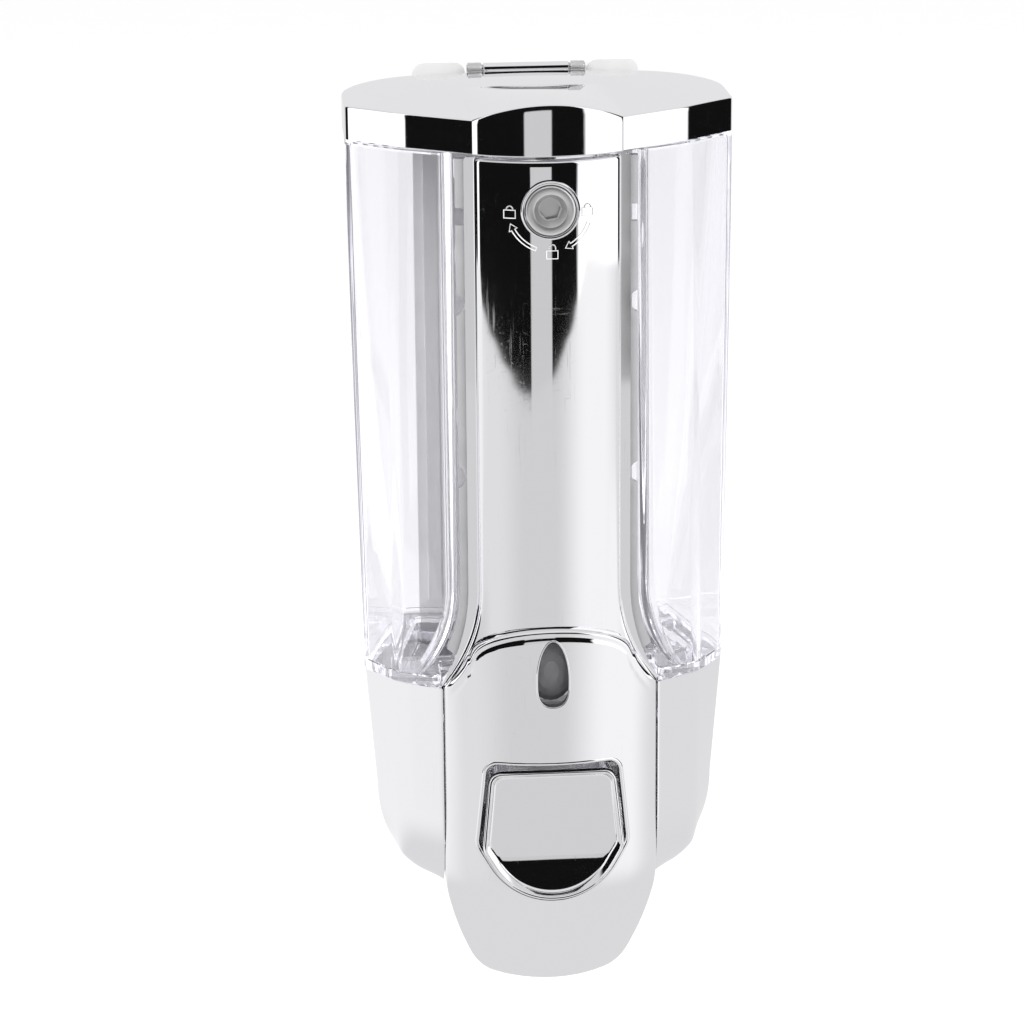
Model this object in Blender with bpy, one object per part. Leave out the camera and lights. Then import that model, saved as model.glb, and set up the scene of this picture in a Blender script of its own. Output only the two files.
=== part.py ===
"""Wall mounted soap dispenser: a clear tank on a wall plate, behind a chromed cover with a push button.

Frame: +Z up, the front faces -Y and the wall is the plane y = 0. The origin is the middle of the wall
plate's back face. Lengths are written in millimetres, and MM turns them into metres as each mesh is made.
"""

import math

import bmesh
import bpy
from mathutils import Matrix, Vector

MM = 0.001
GAP = 0.3

# Heights
LID_EDGE_Z = 60.0
LID_SIDE_Z = 68.0
LID_DOME_Z = 71.9
TANK_TOP_Z = 59.5
ARCH_TOP_Z = -48.6
FLANGE_Z = -62.0
TANK_BASE_Z = -64.0
SUMP_Z = -70.5
SHELL_TOP_Z = -64.3
SHELL_BEND_Z = -93.0
SHELL_BASE_Z = -115.3
CHIN_Z = -138.0

# Plan: half widths, and distances in front of the wall
TANK_BACK_Y = -5.0
GROOVE_Y = -46.0
COLUMN_HALF = 16.3
COLUMN_Y = -63.4
COLUMN_EDGE_Y = -59.0
SHOULDER_HALF = 24.6
PANEL_HALF = 24.3
SEAM_Y = -58.3
TANK_WALL = 1.8
COVER_WALL = 2.2
SHELL_WALL = 2.0
PANEL_WALL = 2.6

# Grey carrier behind the cover, and the screws of the cover: x, z on each side
SPINE_FRONT_Y = -55.5
SPINE_BACK_Y = -53.5
COVER_POSTS = [(11.0, 33.0), (18.6, -72.0)]

# Wall plate
PLATE_HALF = 26.6
PLATE_FRONT_Y = -2.2
PLATE_BASE_Z = -104.0
EAR_IN = 14.2
EAR_TOP_Z = 71.0
SHELL_SCREW_X = 12.0
SHELL_SCREW_Z = -78.0

# Lid's centre lobe
LOBE_HALF = COLUMN_HALF + 0.4
LOBE_BACK_Y = -22.0

# Flare of the column into the shoulders
FLARE_TOP_Z = -40.0
FLARE_POWER = 2.2

# Lid hinge, lock and button
HINGE = (0.0, -3.5, 69.7)
HINGE_PIN_R = 0.9
KNUCKLE_R = 1.9
LOCK = (0.0, -62.0, 48.3)
LOCK_BEZEL_R = 6.6
LOCK_FACE_R = 5.6
BUTTON_AXIS_Z = -95.0
BUTTON_TRAVEL = 8.0

# Pump
PUMP_Y = -29.2
CHAMBER_FRONT_Y = -45.8
CHAMBER_BACK_Y = -23.6
CHAMBER_R = 9.5
CHAMBER_BORE_R = 7.6
PISTON_Y = -42.2
EAR_FRONT_Y = -41.8
EAR_BACK_Y = -39.3
BOSS_X = 19.2


def clear_scene():
    for thing in list(bpy.data.objects):
        bpy.data.objects.remove(thing, do_unlink=True)


def finish(name, colour, roughness, metallic=0.0, transmission=0.0):
    """A Principled material of one moulded, plated or drawn stock."""
    made = bpy.data.materials.new(name)
    made.use_nodes = True
    shader = made.node_tree.nodes["Principled BSDF"]
    shader.inputs["Base Color"].default_value = (*colour, 1.0)
    shader.inputs["Roughness"].default_value = roughness
    shader.inputs["Metallic"].default_value = metallic
    shader.inputs["Transmission Weight"].default_value = transmission
    return made


def chrome(name):
    return finish(name, (0.83, 0.83, 0.85), 0.06, metallic=1.0)


def clear_plastic(name):
    return finish(name, (0.93, 0.93, 0.97), 0.03, transmission=0.95)


def grey_plastic(name):
    return finish(name, (0.62, 0.62, 0.62), 0.45)


def white_plastic(name):
    return finish(name, (0.86, 0.86, 0.85), 0.4)


def silicone(name):
    return finish(name, (0.8, 0.8, 0.8), 0.5, transmission=0.3)


def steel(name):
    return finish(name, (0.62, 0.62, 0.61), 0.25, metallic=1.0)


def solid(name, mesh_maker, material, origin=(0.0, 0.0, 0.0), helper=False):
    """The object of a closed bmesh drawn in millimetres, with its own origin."""
    bmesh.ops.recalc_face_normals(mesh_maker, faces=mesh_maker.faces)
    bmesh.ops.transform(mesh_maker, matrix=Matrix.Translation(-Vector(origin)), verts=mesh_maker.verts)
    bmesh.ops.scale(mesh_maker, vec=(MM, MM, MM), verts=mesh_maker.verts)
    mesh = bpy.data.meshes.new(name)
    mesh_maker.to_mesh(mesh)
    mesh_maker.free()
    mesh.shade_smooth()
    mesh.set_sharp_from_angle(angle=math.radians(35.0))
    made = bpy.data.objects.new(name, mesh)
    made.location = Vector(origin) * MM
    bpy.context.scene.collection.objects.link(made)
    if helper:
        made.hide_render = True
        made.display_type = "WIRE"
    else:
        mesh.materials.append(material)
    return made


def combine(target, operation, tools):
    """Cuts the closed shapes in tools from target, or joins them to it, each with its own Boolean."""
    for number, tool in enumerate(tools):
        name = f"{target.name}_{operation.lower()}_{len(target.modifiers)}_{number}"
        helper = solid(name, tool, None, helper=True)
        step = target.modifiers.new(helper.name, "BOOLEAN")
        step.operation = operation
        step.object = helper


def loft(rings, closed=False):
    """A closed skin through rings of equal length. It is capped at both ends, or joined end to start."""
    made = bmesh.new()
    rows = [[made.verts.new(point) for point in ring] for ring in rings]
    count = len(rows[0])
    pairs = list(zip(rows, rows[1:]))
    if closed:
        pairs.append((rows[-1], rows[0]))
    else:
        made.faces.new(rows[0])
        made.faces.new(rows[-1])
    for low, high in pairs:
        for i in range(count):
            j = (i + 1) % count
            made.faces.new((low[i], low[j], high[j], high[i]))
    return made


def placed(u, v, along, axis):
    """The point at u, v across an axis and a distance along it."""
    return {"X": (along, u, v), "Y": (u, along, v), "Z": (u, v, along)}[axis]


def prism(outline, axis, low, high):
    return loft([[placed(u, v, along, axis) for u, v in outline] for along in (low, high)])


def circle(radius, centre=(0.0, 0.0), segments=28):
    turns = [2.0 * math.pi * i / segments for i in range(segments)]
    return [(centre[0] + radius * math.cos(t), centre[1] + radius * math.sin(t)) for t in turns]


def rod(radius, centre, axis, low, high, segments=28):
    return prism(circle(radius, centre, segments), axis, low, high)


def turned(profile, centre, axis, hollow=False, segments=28):
    """A turned shape through (radius, distance) points: closed like a ring if hollow, or else capped."""
    rings = []
    for radius, along in profile:
        rings.append([placed(u, v, along, axis) for u, v in circle(radius, centre, segments)])
    return loft(rings, closed=hollow)


def block(low, high):
    outline = [(low[0], low[1]), (high[0], low[1]), (high[0], high[1]), (low[0], high[1])]
    return prism(outline, "Z", low[2], high[2])


def offset(corners, inset):
    """A polygon of (x, y, radius) corners, counter-clockwise, moved inwards by inset."""
    moved = []
    count = len(corners)
    for i, (x, y, radius) in enumerate(corners):
        before = Vector((x - corners[i - 1][0], y - corners[i - 1][1])).normalized()
        after = Vector((corners[(i + 1) % count][0] - x, corners[(i + 1) % count][1] - y)).normalized()
        normal_a = Vector((-before.y, before.x))
        normal_b = Vector((-after.y, after.x))
        step = (normal_a + normal_b) * (inset / (1.0 + normal_a.dot(normal_b)))
        convex = before.cross(after) > 0.0
        radius = max(radius - inset, 0.3) if convex else radius + inset
        moved.append((x + step.x, y + step.y, radius))
    return moved


def rounded(corners, steps=4):
    """The outline of a polygon of (x, y, radius) corners, with each corner an arc of steps chords."""
    outline = []
    count = len(corners)
    for i, (x, y, radius) in enumerate(corners):
        corner = Vector((x, y))
        before = (Vector(corners[i - 1][:2]) - corner).normalized()
        after = (Vector(corners[(i + 1) % count][:2]) - corner).normalized()
        half_angle = 0.5 * before.angle(after)
        reach = radius / math.tan(half_angle)
        middle = corner + (before + after).normalized() * (radius / math.sin(half_angle))
        start = corner + before * reach - middle
        end = corner + after * reach - middle
        sweep = start.angle_signed(end)
        for k in range(steps + 1):
            arm = start.copy()
            arm.rotate(Matrix.Rotation(-sweep * k / steps, 2))
            outline.append((middle.x + arm.x, middle.y + arm.y))
    return outline


def mirrored(half):
    """A whole polygon from the +X half of its corners, listed from the front to the back."""
    return half + [(-x, y, radius) for x, y, radius in reversed(half)]


def blend(top, base, amount):
    return top + (base - top) * amount


# Front cover


def flare(z):
    """How far the column has opened into the shoulders at height z: 0 above the flare, 1 at the shoulders."""
    return min(1.0, max(0.0, (FLARE_TOP_Z - z) / (FLARE_TOP_Z - TANK_BASE_Z))) ** FLARE_POWER


def column_half(z):
    return blend(COLUMN_HALF, SHOULDER_HALF, flare(z))


def channel_ring(z, half, centre_y, edge_y, back_y, wall, chords=14):
    """A section of a curved front with side walls: the outer skin from left to right, then the inner one."""
    crown = edge_y - centre_y
    outer = []
    inner = []
    for i in range(chords + 1):
        x = -1.0 + 2.0 * i / chords
        outer.append(((half - 0.6) * x, centre_y + crown * x * x, z))
        inner.append(((half - wall) * x, centre_y + wall + crown * x * x * 0.96, z))
    outer_sides = [(half, edge_y + 0.8, z), (half, back_y, z), (half - wall, back_y, z)]
    left_sides = [(-x, y, level) for x, y, level in reversed(outer_sides)]
    return outer + outer_sides + inner[::-1] + left_sides


def column_skin():
    levels = [TANK_TOP_Z - GAP, 20.0, FLARE_TOP_Z, -46.0, -51.0, -55.0, -59.0, TANK_BASE_Z, -67.3]
    rings = []
    for z in levels:
        edge_y = blend(COLUMN_EDGE_Y, COLUMN_EDGE_Y + 0.5, flare(z))
        rings.append(channel_ring(z, column_half(z), COLUMN_Y, edge_y, SPINE_FRONT_Y - GAP, COVER_WALL))
    return loft(rings)


# The lower panel's sections from the arch down to the chin: height, half width, middle y, edge y, back y
PANEL_SECTIONS = [
    (-46.0, PANEL_HALF, -65.2, -58.2, -53.0),
    (-75.0, PANEL_HALF, -65.8, -58.3, -51.0),
    (-92.0, PANEL_HALF, -65.8, -58.3, -50.6),
    (-108.0, 24.4, -65.2, -57.8, -50.2),
    (-114.0, 24.1, -64.6, -57.2, -49.8),
    (-120.0, 23.2, -63.4, -56.0, -48.9),
    (-125.7, 21.8, -61.8, -54.5, -47.6),
    (-130.2, 20.2, -60.2, -53.2, -46.4),
    (-133.8, 18.5, -58.8, -52.2, -45.6),
    (-136.1, 16.4, -57.8, -51.9, -45.4),
    (-137.4, 13.8, -57.2, -52.4, -46.0),
    (CHIN_Z, 11.0, -56.9, -53.4, -47.6),
]


def panel_skin():
    rings = []
    for z, half, centre_y, edge_y, back_y in PANEL_SECTIONS:
        rings.append(channel_ring(z, half, centre_y, edge_y, back_y, PANEL_WALL, chords=16))
    return loft(rings)


def panel_outline():
    """The lower panel seen from the front: an arched top, flared sides and room for the chin below."""
    arch_half = 18.6
    arch_rise = 7.2
    right = []
    for i in range(9):
        turn = 0.5 * math.pi * i / 8
        right.append((arch_half * math.sin(turn), ARCH_TOP_Z - arch_rise * (1.0 - math.cos(turn))))
    for z in (-58.5, -61.5, TANK_BASE_Z):
        right.append((column_half(z) - 0.7, z))
    right.append((SHOULDER_HALF + 1.0, TANK_BASE_Z - 0.4))
    right.append((SHOULDER_HALF + 1.0, CHIN_Z - 2.0))
    return right + [(-x, z) for x, z in reversed(right) if x > 0.0]


# The sight window, half of it, as x, z
WINDOW = [(0.0, -51.4), (1.9, -53.2), (2.9, -57.0), (3.7, -62.0), (3.6, -65.0), (2.7, -67.0), (0.0, -67.5)]

# The button's opening and the button: half of a top edge, a side corner and the round bottom, as x, z, radius
OPENING_CORNERS = [(15.6, -80.7, 3.5), (17.9, -103.7, 4.0), (0.0, -120.4, 15.8)]
BUTTON_CORNERS = [(14.7, -84.0, 3.0), (16.1, -104.7, 3.5), (0.0, -117.1, 14.4)]


def whole_outline(half):
    """A closed outline from its +X half of (x, z) points, whose ends lie on the centre line."""
    return half + [(-x, z) for x, z in reversed(half) if x > 0.0]


def shield(corners, inset=0.0, steps=5):
    """The button's shape: a flat top, straight sides and a round bottom, moved inwards by inset."""
    top, side, bottom = corners
    polygon = [bottom, side, top, (-top[0], *top[1:]), (-side[0], *side[1:])]
    return rounded(offset(polygon, inset), steps)


def front_cover(material):
    """Column, arched lower panel and chin in one plated moulding, with screw posts on its inside."""
    panel = solid("front_cover", panel_skin(), material)
    combine(panel, "INTERSECT", [prism(panel_outline(), "Y", -80.0, -40.0)])
    posts = [rod(2.6, (side * x, z), "Y", -61.0, -55.8, 16) for side in (-1, 1) for x, z in COVER_POSTS]
    combine(panel, "UNION", [column_skin(), *posts])
    pilots = [rod(1.25, (side * x, z), "Y", -59.5, -50.0, 12) for side in (-1, 1) for x, z in COVER_POSTS]
    window = prism(whole_outline(WINDOW), "Y", -70.0, -60.0)
    opening = prism(shield(OPENING_CORNERS), "Y", -75.0, -45.0)
    keyhole = rod(6.2, (LOCK[0], LOCK[2]), "Y", -70.0, -55.0)
    combine(panel, "DIFFERENCE", [window, opening, keyhole, *pilots])
    return panel


def spine(material):
    """The grey carrier behind the cover: it lines the tank's groove and takes the cover's screws."""
    right = [(8.0, 40.5), (14.9, 41.5), (15.2, 58.6), (20.4, 58.6)]
    for z in (FLARE_TOP_Z, -46.0, -51.0, -55.5):
        right.append((column_half(z) + 4.1, z))
    right += [(21.2, -57.5), (21.2, -80.0)]
    outline = whole_outline([(0.0, 40.5), *right, (0.0, -80.0)])
    made = solid("spine", prism(outline, "Y", SPINE_BACK_Y, SPINE_FRONT_Y), material)
    notches = []
    for side in (-1, 1):
        edges = sorted((side * 16.6, side * 22.0))
        notches.append(block((edges[0], -60.0, 43.6), (edges[1], -50.0, 47.6)))
        notches.append(rod(2.7, (side * 21.2, 25.4), "Y", -60.0, -50.0, 20))
        notches.append(rod(2.7, (side * 21.2, -14.6), "Y", -60.0, -50.0, 20))
        notches += [rod(1.7, (side * x, z), "Y", -60.0, -50.0, 16) for x, z in COVER_POSTS]
    light_opening = block((-5.0, -60.0, -70.0), (5.0, -50.0, -52.0))
    combine(made, "DIFFERENCE", [*notches, light_opening])
    return made


def cover_screws(material_maker):
    """Pan head screws that hold the cover's posts to the spine, put in from behind."""
    for side, word in ((-1, "left"), (1, "right")):
        for (x, z), place in zip(COVER_POSTS, ("upper", "lower")):
            profile = [(2.6, -51.6), (2.6, -53.2), (1.15, -53.2), (1.15, -58.6), (0.4, -59.2)]
            profile.insert(0, (2.0, -51.2))
            shape = turned(profile, (side * x, z), "Y", segments=14)
            solid(f"cover_screw_{place}_{word}", shape, material_maker())


# Tank


def tank_corners(z, inset=0.0, groove=None):
    """The tank's plan at height z, with the groove for the column in its front."""
    down = max(0.0, (TANK_TOP_Z - z) / (TANK_TOP_Z - TANK_BASE_Z))
    groove = groove or blend(20.9, 30.0, flare(z))
    front_y = blend(-54.9 + 0.55 * (groove - 20.9), SEAM_Y + 0.6 * (groove - 25.0), down)
    half = [
        (groove, GROOVE_Y, 1.0),
        (groove, front_y, 2.3),
        (blend(33.0, 35.4, down), blend(-47.9, -52.2, down), blend(20.0, 6.0, down)),
        (blend(44.0, 42.2, down**1.5), blend(-38.2, -41.4, down), 3.4),
        (blend(43.4, 32.4, down), TANK_BACK_Y, blend(16.5, 5.0, down)),
    ]
    return offset(mirrored(half), inset)


def tank_ring(z, inset=0.0, groove=None):
    return [(x, y, z) for x, y in rounded(tank_corners(z, inset, groove), 3)]


def sump_ring(z, inset):
    """The sunken floor of the tank, a smaller outline that stands inside the housing below."""
    half = [(20.0, GROOVE_Y + 4.0, 2.0), (36.0, -42.5, 3.0), (29.2, -9.6, 3.0)]
    return [(x, y, z) for x, y in rounded(offset(mirrored(half), inset), 3)]


def tank(material):
    """The clear reservoir, open on top, with a flange, a sump, an outlet spigot and the lid's knuckles."""
    levels = [TANK_TOP_Z, 20.0, FLARE_TOP_Z, -47.0, -53.0, -58.0, FLANGE_Z]
    made = solid("tank", loft([tank_ring(z) for z in levels]), material)
    flange = loft([tank_ring(z, -0.25, 25.2) for z in (FLANGE_Z + 0.4, TANK_BASE_Z)])
    sump = loft([sump_ring(TANK_BASE_Z + 1.0, 0.0), sump_ring(SUMP_Z, 0.6)])
    spigot = rod(5.0, (0.0, PUMP_Y), "Z", SUMP_Z + 1.0, -78.0)
    knuckles = []
    for side in (-1, 1):
        low_x = 12.1 * side - 1.6
        knuckles.append(block((low_x, -6.0, 52.0), (low_x + 3.2, -2.5, 59.2)))
        knuckles.append(block((low_x, -5.1, 58.6), (low_x + 3.2, -2.5, HINGE[2])))
        knuckles.append(rod(KNUCKLE_R, HINGE[1:], "X", low_x, low_x + 3.2, 20))
    combine(made, "UNION", [flange, sump, spigot, *knuckles])
    inner_levels = [TANK_TOP_Z + 2.0, 20.0, FLARE_TOP_Z, -47.0, -53.0, -58.0, FLANGE_Z]
    inside = loft([tank_ring(z, TANK_WALL) for z in inner_levels])
    basin = loft([sump_ring(FLANGE_Z + 1.0, TANK_WALL - 0.3), sump_ring(SUMP_Z + TANK_WALL, TANK_WALL + 0.4)])
    bore = rod(3.4, (0.0, PUMP_Y), "Z", SUMP_Z - 12.0, SUMP_Z + 6.0)
    pin_hole = rod(HINGE_PIN_R + 0.05, HINGE[1:], "X", -20.0, 20.0, 20)
    combine(made, "DIFFERENCE", [inside, basin, bore, pin_hole])
    return made


# Base shell


def shell_ring(z, inset=0.0):
    """The lower housing's plan at height z. It rounds in below the bend, like the bottom of a bowl."""
    drop = max(0.0, (SHELL_BEND_Z - z) / (SHELL_BEND_Z - SHELL_BASE_Z))
    draft = 2.4 * min(1.0, (SHELL_TOP_Z - z) / (SHELL_TOP_Z - SHELL_BEND_Z))
    draw = draft + 13.0 * (1.0 - math.sqrt(max(0.0, 1.0 - min(drop, 1.0) ** 2.1)))
    corner_x = 42.2 - draw
    half = [
        (min(25.0, corner_x - 3.0), SEAM_Y + 0.55 * (draw - draft), 1.5),
        (min(34.4, corner_x - 1.5), -52.6 + 0.6 * (draw - draft), 9.0),
        (corner_x, -41.4 + 0.3 * draw, 3.4),
        (32.4 - 0.7 * draw, TANK_BACK_Y - 0.1 * (draw - draft), 5.0),
    ]
    return [(x, y, z) for x, y in rounded(offset(mirrored(half), inset), 3)]


def base_shell(material):
    """The plated lower housing: a bowl under the tank that wraps round the pump, open to the front cover."""
    levels = [SHELL_TOP_Z, -80.0, SHELL_BEND_Z, -99.6, -104.8, -109.0, -112.2, -114.2, SHELL_BASE_Z]
    made = solid("base_shell", loft([shell_ring(z) for z in levels]), material)
    inner = [SHELL_TOP_Z + 2.0] + levels[1:-2]
    hollow = loft([shell_ring(max(z, SHELL_BASE_Z), SHELL_WALL) for z in inner])
    front = block((-SHOULDER_HALF - GAP, -70.0, -130.0), (SHOULDER_HALF + GAP, -46.5, -50.0))
    drip = rod(8.6, (0.0, PUMP_Y), "Z", -125.0, -100.0)
    combine(made, "DIFFERENCE", [hollow, front, drip])
    boss_front = EAR_BACK_Y + GAP
    bosses = [rod(3.0, (side * BOSS_X, BUTTON_AXIS_Z), "Y", boss_front, -6.0, 18) for side in (-1, 1)]
    combine(made, "UNION", bosses)
    pilots = [rod(1.3, (side * BOSS_X, BUTTON_AXIS_Z), "Y", -50.0, -28.2, 12) for side in (-1, 1)]
    wall_holes = [rod(1.9, (side * SHELL_SCREW_X, SHELL_SCREW_Z), "Y", -12.0, -1.0, 16) for side in (-1, 1)]
    combine(made, "DIFFERENCE", pilots + wall_holes)
    return made


def shell_screws(material_maker):
    """The two screws that hold the lower housing to the wall plate's bosses."""
    for side, word in ((-1, "left"), (1, "right")):
        profile = [(2.4, -9.4), (3.0, -9.0), (3.0, -7.3), (1.4, -7.3), (1.4, -1.0), (0.5, -0.7)]
        centre = (side * SHELL_SCREW_X, SHELL_SCREW_Z)
        solid(f"shell_screw_{word}", turned(profile, centre, "Y", segments=14), material_maker())


# Wall plate


def wall_plate(material):
    """The grey back plate that is screwed to the wall, with two ears that stand up behind the lid."""
    half = [(PLATE_HALF, PLATE_BASE_Z, 5.0), (PLATE_HALF, EAR_TOP_Z, 2.6)]
    half += [(EAR_IN, EAR_TOP_Z, 2.6), (EAR_IN, TANK_TOP_Z, 1.0)]
    outline = rounded(half + [(-x, z, r) for x, z, r in reversed(half)], 4)
    made = solid("wall_plate", prism(outline, "Y", PLATE_FRONT_Y, 0.0), material)
    rails = []
    for side in (-1, 1):
        edges = sorted((side * 22.0, side * 24.4))
        rails.append(block((edges[0], -4.6, -60.0), (edges[1], -2.0, 50.0)))
        rails.append(rod(4.2, (side * SHELL_SCREW_X, SHELL_SCREW_Z), "Y", -4.6, -2.0, 20))
    combine(made, "UNION", rails)
    holes = []
    for z in (40.0, -40.0):
        holes.append(rod(4.2, (0.0, z - 6.0), "Y", -5.0, 2.0, 20))
        holes.append(block((-2.3, -5.0, z - 6.0), (2.3, 2.0, z)))
        holes.append(rod(2.3, (0.0, z), "Y", -5.0, 2.0, 16))
    for side in (-1, 1):
        edges = sorted((side * 7.0, side * 20.0))
        holes.append(block((edges[0], -5.0, 43.6), (edges[1], 2.0, 48.4)))
        holes.append(rod(3.0, (side * 16.0, 25.4), "Y", -5.0, 2.0, 20))
        holes.append(rod(3.0, (side * 16.0, -14.6), "Y", -5.0, 2.0, 20))
        holes.append(rod(1.6, (side * SHELL_SCREW_X, SHELL_SCREW_Z), "Y", -6.0, -0.4, 14))
    combine(made, "DIFFERENCE", holes)
    return made


# Lid


def lid_corners(inset=0.0):
    """The lid's plan: a bowed centre lobe that carries the column up, between two side lobes."""
    half = [
        (6.5, COLUMN_Y, 14.0),
        (12.8, -61.0, 10.0),
        (LOBE_HALF, -57.5, 0.6),
        (32.0, -48.9, 26.0),
        (44.0, -38.0, 3.0),
        (44.0, -5.4, 17.5),
    ]
    return offset(mirrored(half), inset)


def lid_ring(z, inset=0.0, scale=1.0):
    """The outline at height z, drawn in towards the middle of the lid by scale."""
    middle = -30.0
    return [(x * scale, middle + (y - middle) * scale, z) for x, y in rounded(lid_corners(inset), 4)]


def dome_skin(inset, low_z):
    """The centre lobe's dome: it rises behind the bowed front and dies into the flat top towards the back."""
    rings = []
    for i in range(17):
        across = -1.0 + i / 8.0
        x = (LOBE_HALF - 0.2 - inset) * across
        bow = max(0.0, 1.0 - across * across)
        front_y = COLUMN_Y + 0.2 + inset + 4.9 * (1.0 - bow)
        ring = [(x, LOBE_BACK_Y, low_z), (x, front_y, low_z)]
        for row in range(9):
            ahead = 1.0 - row / 8.0
            rise = (LID_DOME_Z - LID_SIDE_Z + 0.4) * bow**0.6 * math.sin(0.5 * math.pi * ahead)
            ring.append((x, blend(LOBE_BACK_Y, front_y, ahead), LID_SIDE_Z - 0.4 + rise - inset))
        rings.append(ring)
    return loft(rings)


def lid(material):
    """The plated lid, hollow below, with its hinge barrel at the back and two hooks for the lock's cam."""
    steps = [(LID_EDGE_Z, 0.0, 1.0), (66.4, 0.2, 1.0), (67.3, 0.8, 1.0), (67.8, 2.0, 1.0), (68.4, 2.0, 0.6)]
    made = solid("lid", loft([lid_ring(*step) for step in steps]), material, origin=HINGE)
    barrel = rod(KNUCKLE_R - 0.2, HINGE[1:], "X", -10.0, 10.0, 20)
    web = block((-9.4, -8.2, 64.4), (9.4, -4.0, HINGE[2] - 0.7))
    combine(made, "UNION", [dome_skin(0.0, 64.0), barrel, web])
    hollow = loft([lid_ring(LID_EDGE_Z - 1.0, 2.0), lid_ring(65.0, 2.2), lid_ring(66.0, 3.2)])
    pin_hole = rod(HINGE_PIN_R + 0.08, HINGE[1:], "X", -20.0, 20.0, 20)
    combine(made, "DIFFERENCE", [hollow, dome_skin(2.3, 62.0), pin_hole])
    for side in (-1, 1):
        combine(made, "UNION", [lid_hook(side)])
    return made


def lid_hook(side):
    """An L that hangs from the lid's underside, its foot turned in under the lock's cam."""
    outline = [(12.4, 67.0), (12.4, 43.4), (7.6, 43.4), (7.6, 45.6), (11.0, 45.6), (11.0, 67.0)]
    return prism([(side * x, z) for x, z in outline], "Y", -51.8, -49.4)


def lid_seal(material):
    """The soft ring in the lid's rim that closes on the tank, open in front where the hooks come down."""
    outer = [lid_ring(z, 2.4) for z in (LID_EDGE_Z + 0.1, LID_EDGE_Z + 1.5)]
    inner = [lid_ring(z, 4.2) for z in (LID_EDGE_Z + 1.5, LID_EDGE_Z + 0.1)]
    made = solid("lid_seal", loft(outer + inner, closed=True), material, origin=HINGE)
    combine(made, "DIFFERENCE", [block((-16.0, -70.0, 55.0), (16.0, -47.0, 65.0))])
    return made


def hinge_pin(material):
    solid("hinge_pin", rod(HINGE_PIN_R, HINGE[1:], "X", -13.9, 13.9, 20), material, origin=HINGE)


# Lock


def lock_bezel(material):
    """The ring on the cover's face, with a short barrel through it."""
    profile = [(6.0, -58.2), (6.0, -63.75), (LOCK_BEZEL_R, -63.75), (LOCK_BEZEL_R, -64.3), (6.2, -64.6)]
    profile += [(LOCK_FACE_R + 0.15, -64.6), (LOCK_FACE_R + 0.15, -58.2)]
    return solid("lock_bezel", turned(profile, (LOCK[0], LOCK[2]), "Y", hollow=True), material)


def lock_nut(material):
    profile = [(6.3, -58.2), (8.6, -58.2), (8.6, -56.4), (6.3, -56.4)]
    ring = turned(profile, (LOCK[0], LOCK[2]), "Y", hollow=True, segments=24)
    return solid("lock_nut", ring, material)


def lock_cylinder(material):
    """The turning plug: a dished face with a hexagon socket, and a square tail for the cam."""
    profile = [(2.0, -50.0), (2.0, -54.0), (LOCK_FACE_R, -54.0), (LOCK_FACE_R, -64.5), (5.2, -64.8)]
    profile += [(3.7, -64.8), (3.2, -64.2)]
    made = solid("lock_cylinder", turned(profile, (LOCK[0], LOCK[2]), "Y"), material, origin=LOCK)
    socket = prism(circle(2.05 / math.cos(math.pi / 6), (LOCK[0], LOCK[2]), 6), "Y", -66.0, -61.0)
    thread = rod(0.9, (LOCK[0], LOCK[2]), "Y", -53.8, -48.0, 12)
    combine(made, "DIFFERENCE", [socket, thread])
    return made


def lock_cam(material):
    """The tongue that turns behind the cover. It points up when the lid is free."""
    outline = [(3.4 * math.cos(t), 3.4 * math.sin(t)) for t in [math.pi * (1.0 + k / 8) for k in range(9)]]
    outline += [(2.1, 2.6), (2.1, 9.2), (1.3, 10.2), (-1.3, 10.2), (-2.1, 9.2), (-2.1, 2.6)]
    outline = [(x + LOCK[0], z + LOCK[2]) for x, z in outline]
    made = solid("lock_cam", prism(outline, "Y", -51.4, -50.1), material, origin=LOCK)
    combine(made, "DIFFERENCE", [rod(2.1, (LOCK[0], LOCK[2]), "Y", -55.0, -49.0, 20)])
    return made


def lock_screw(material):
    profile = [(2.4, -48.0), (3.0, -48.4), (3.0, -49.7), (0.8, -49.7), (0.8, -53.4)]
    solid("lock_screw", turned(profile, (LOCK[0], LOCK[2]), "Y", segments=16), material, origin=LOCK)


# Button and pump


def button_rim_y(z):
    """The face leans: its top sits inside the opening and its bottom stands proud of the cover."""
    return blend(-63.0, -66.6, (-84.0 - z) / 30.3)


def button_ring(inset, depth):
    """A ring of the button at a depth behind its leaning rim."""
    return [(x, button_rim_y(z) + depth, z) for x, z in shield(BUTTON_CORNERS, inset, 4)]


def flat_ring(inset, y):
    return [(x, y, z) for x, z in shield(BUTTON_CORNERS, inset, 4)]


def button(material):
    """The push button: a plated cap with a scooped face, its skirt and a socket for the pump's rod."""
    centre = (0.0, -57.5, BUTTON_AXIS_Z)
    skin = [flat_ring(0.6, -56.2), button_ring(0.0, 1.4), button_ring(0.6, 0.2), button_ring(1.3, 0.0)]
    skin += [button_ring(2.2, 0.7), button_ring(5.0, 2.0), button_ring(9.0, 2.7)]
    made = solid("button", loft(skin), material, origin=centre)
    inside = [flat_ring(2.4, -55.0), flat_ring(2.6, -58.6), flat_ring(4.4, -59.4)]
    combine(made, "DIFFERENCE", [loft(inside)])
    combine(made, "UNION", [rod(4.4, (0.0, BUTTON_AXIS_Z), "Y", -56.5, -60.4, 24)])
    combine(made, "DIFFERENCE", [rod(2.75, (0.0, BUTTON_AXIS_Z), "Y", -55.0, -59.3, 20)])
    return made


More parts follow.
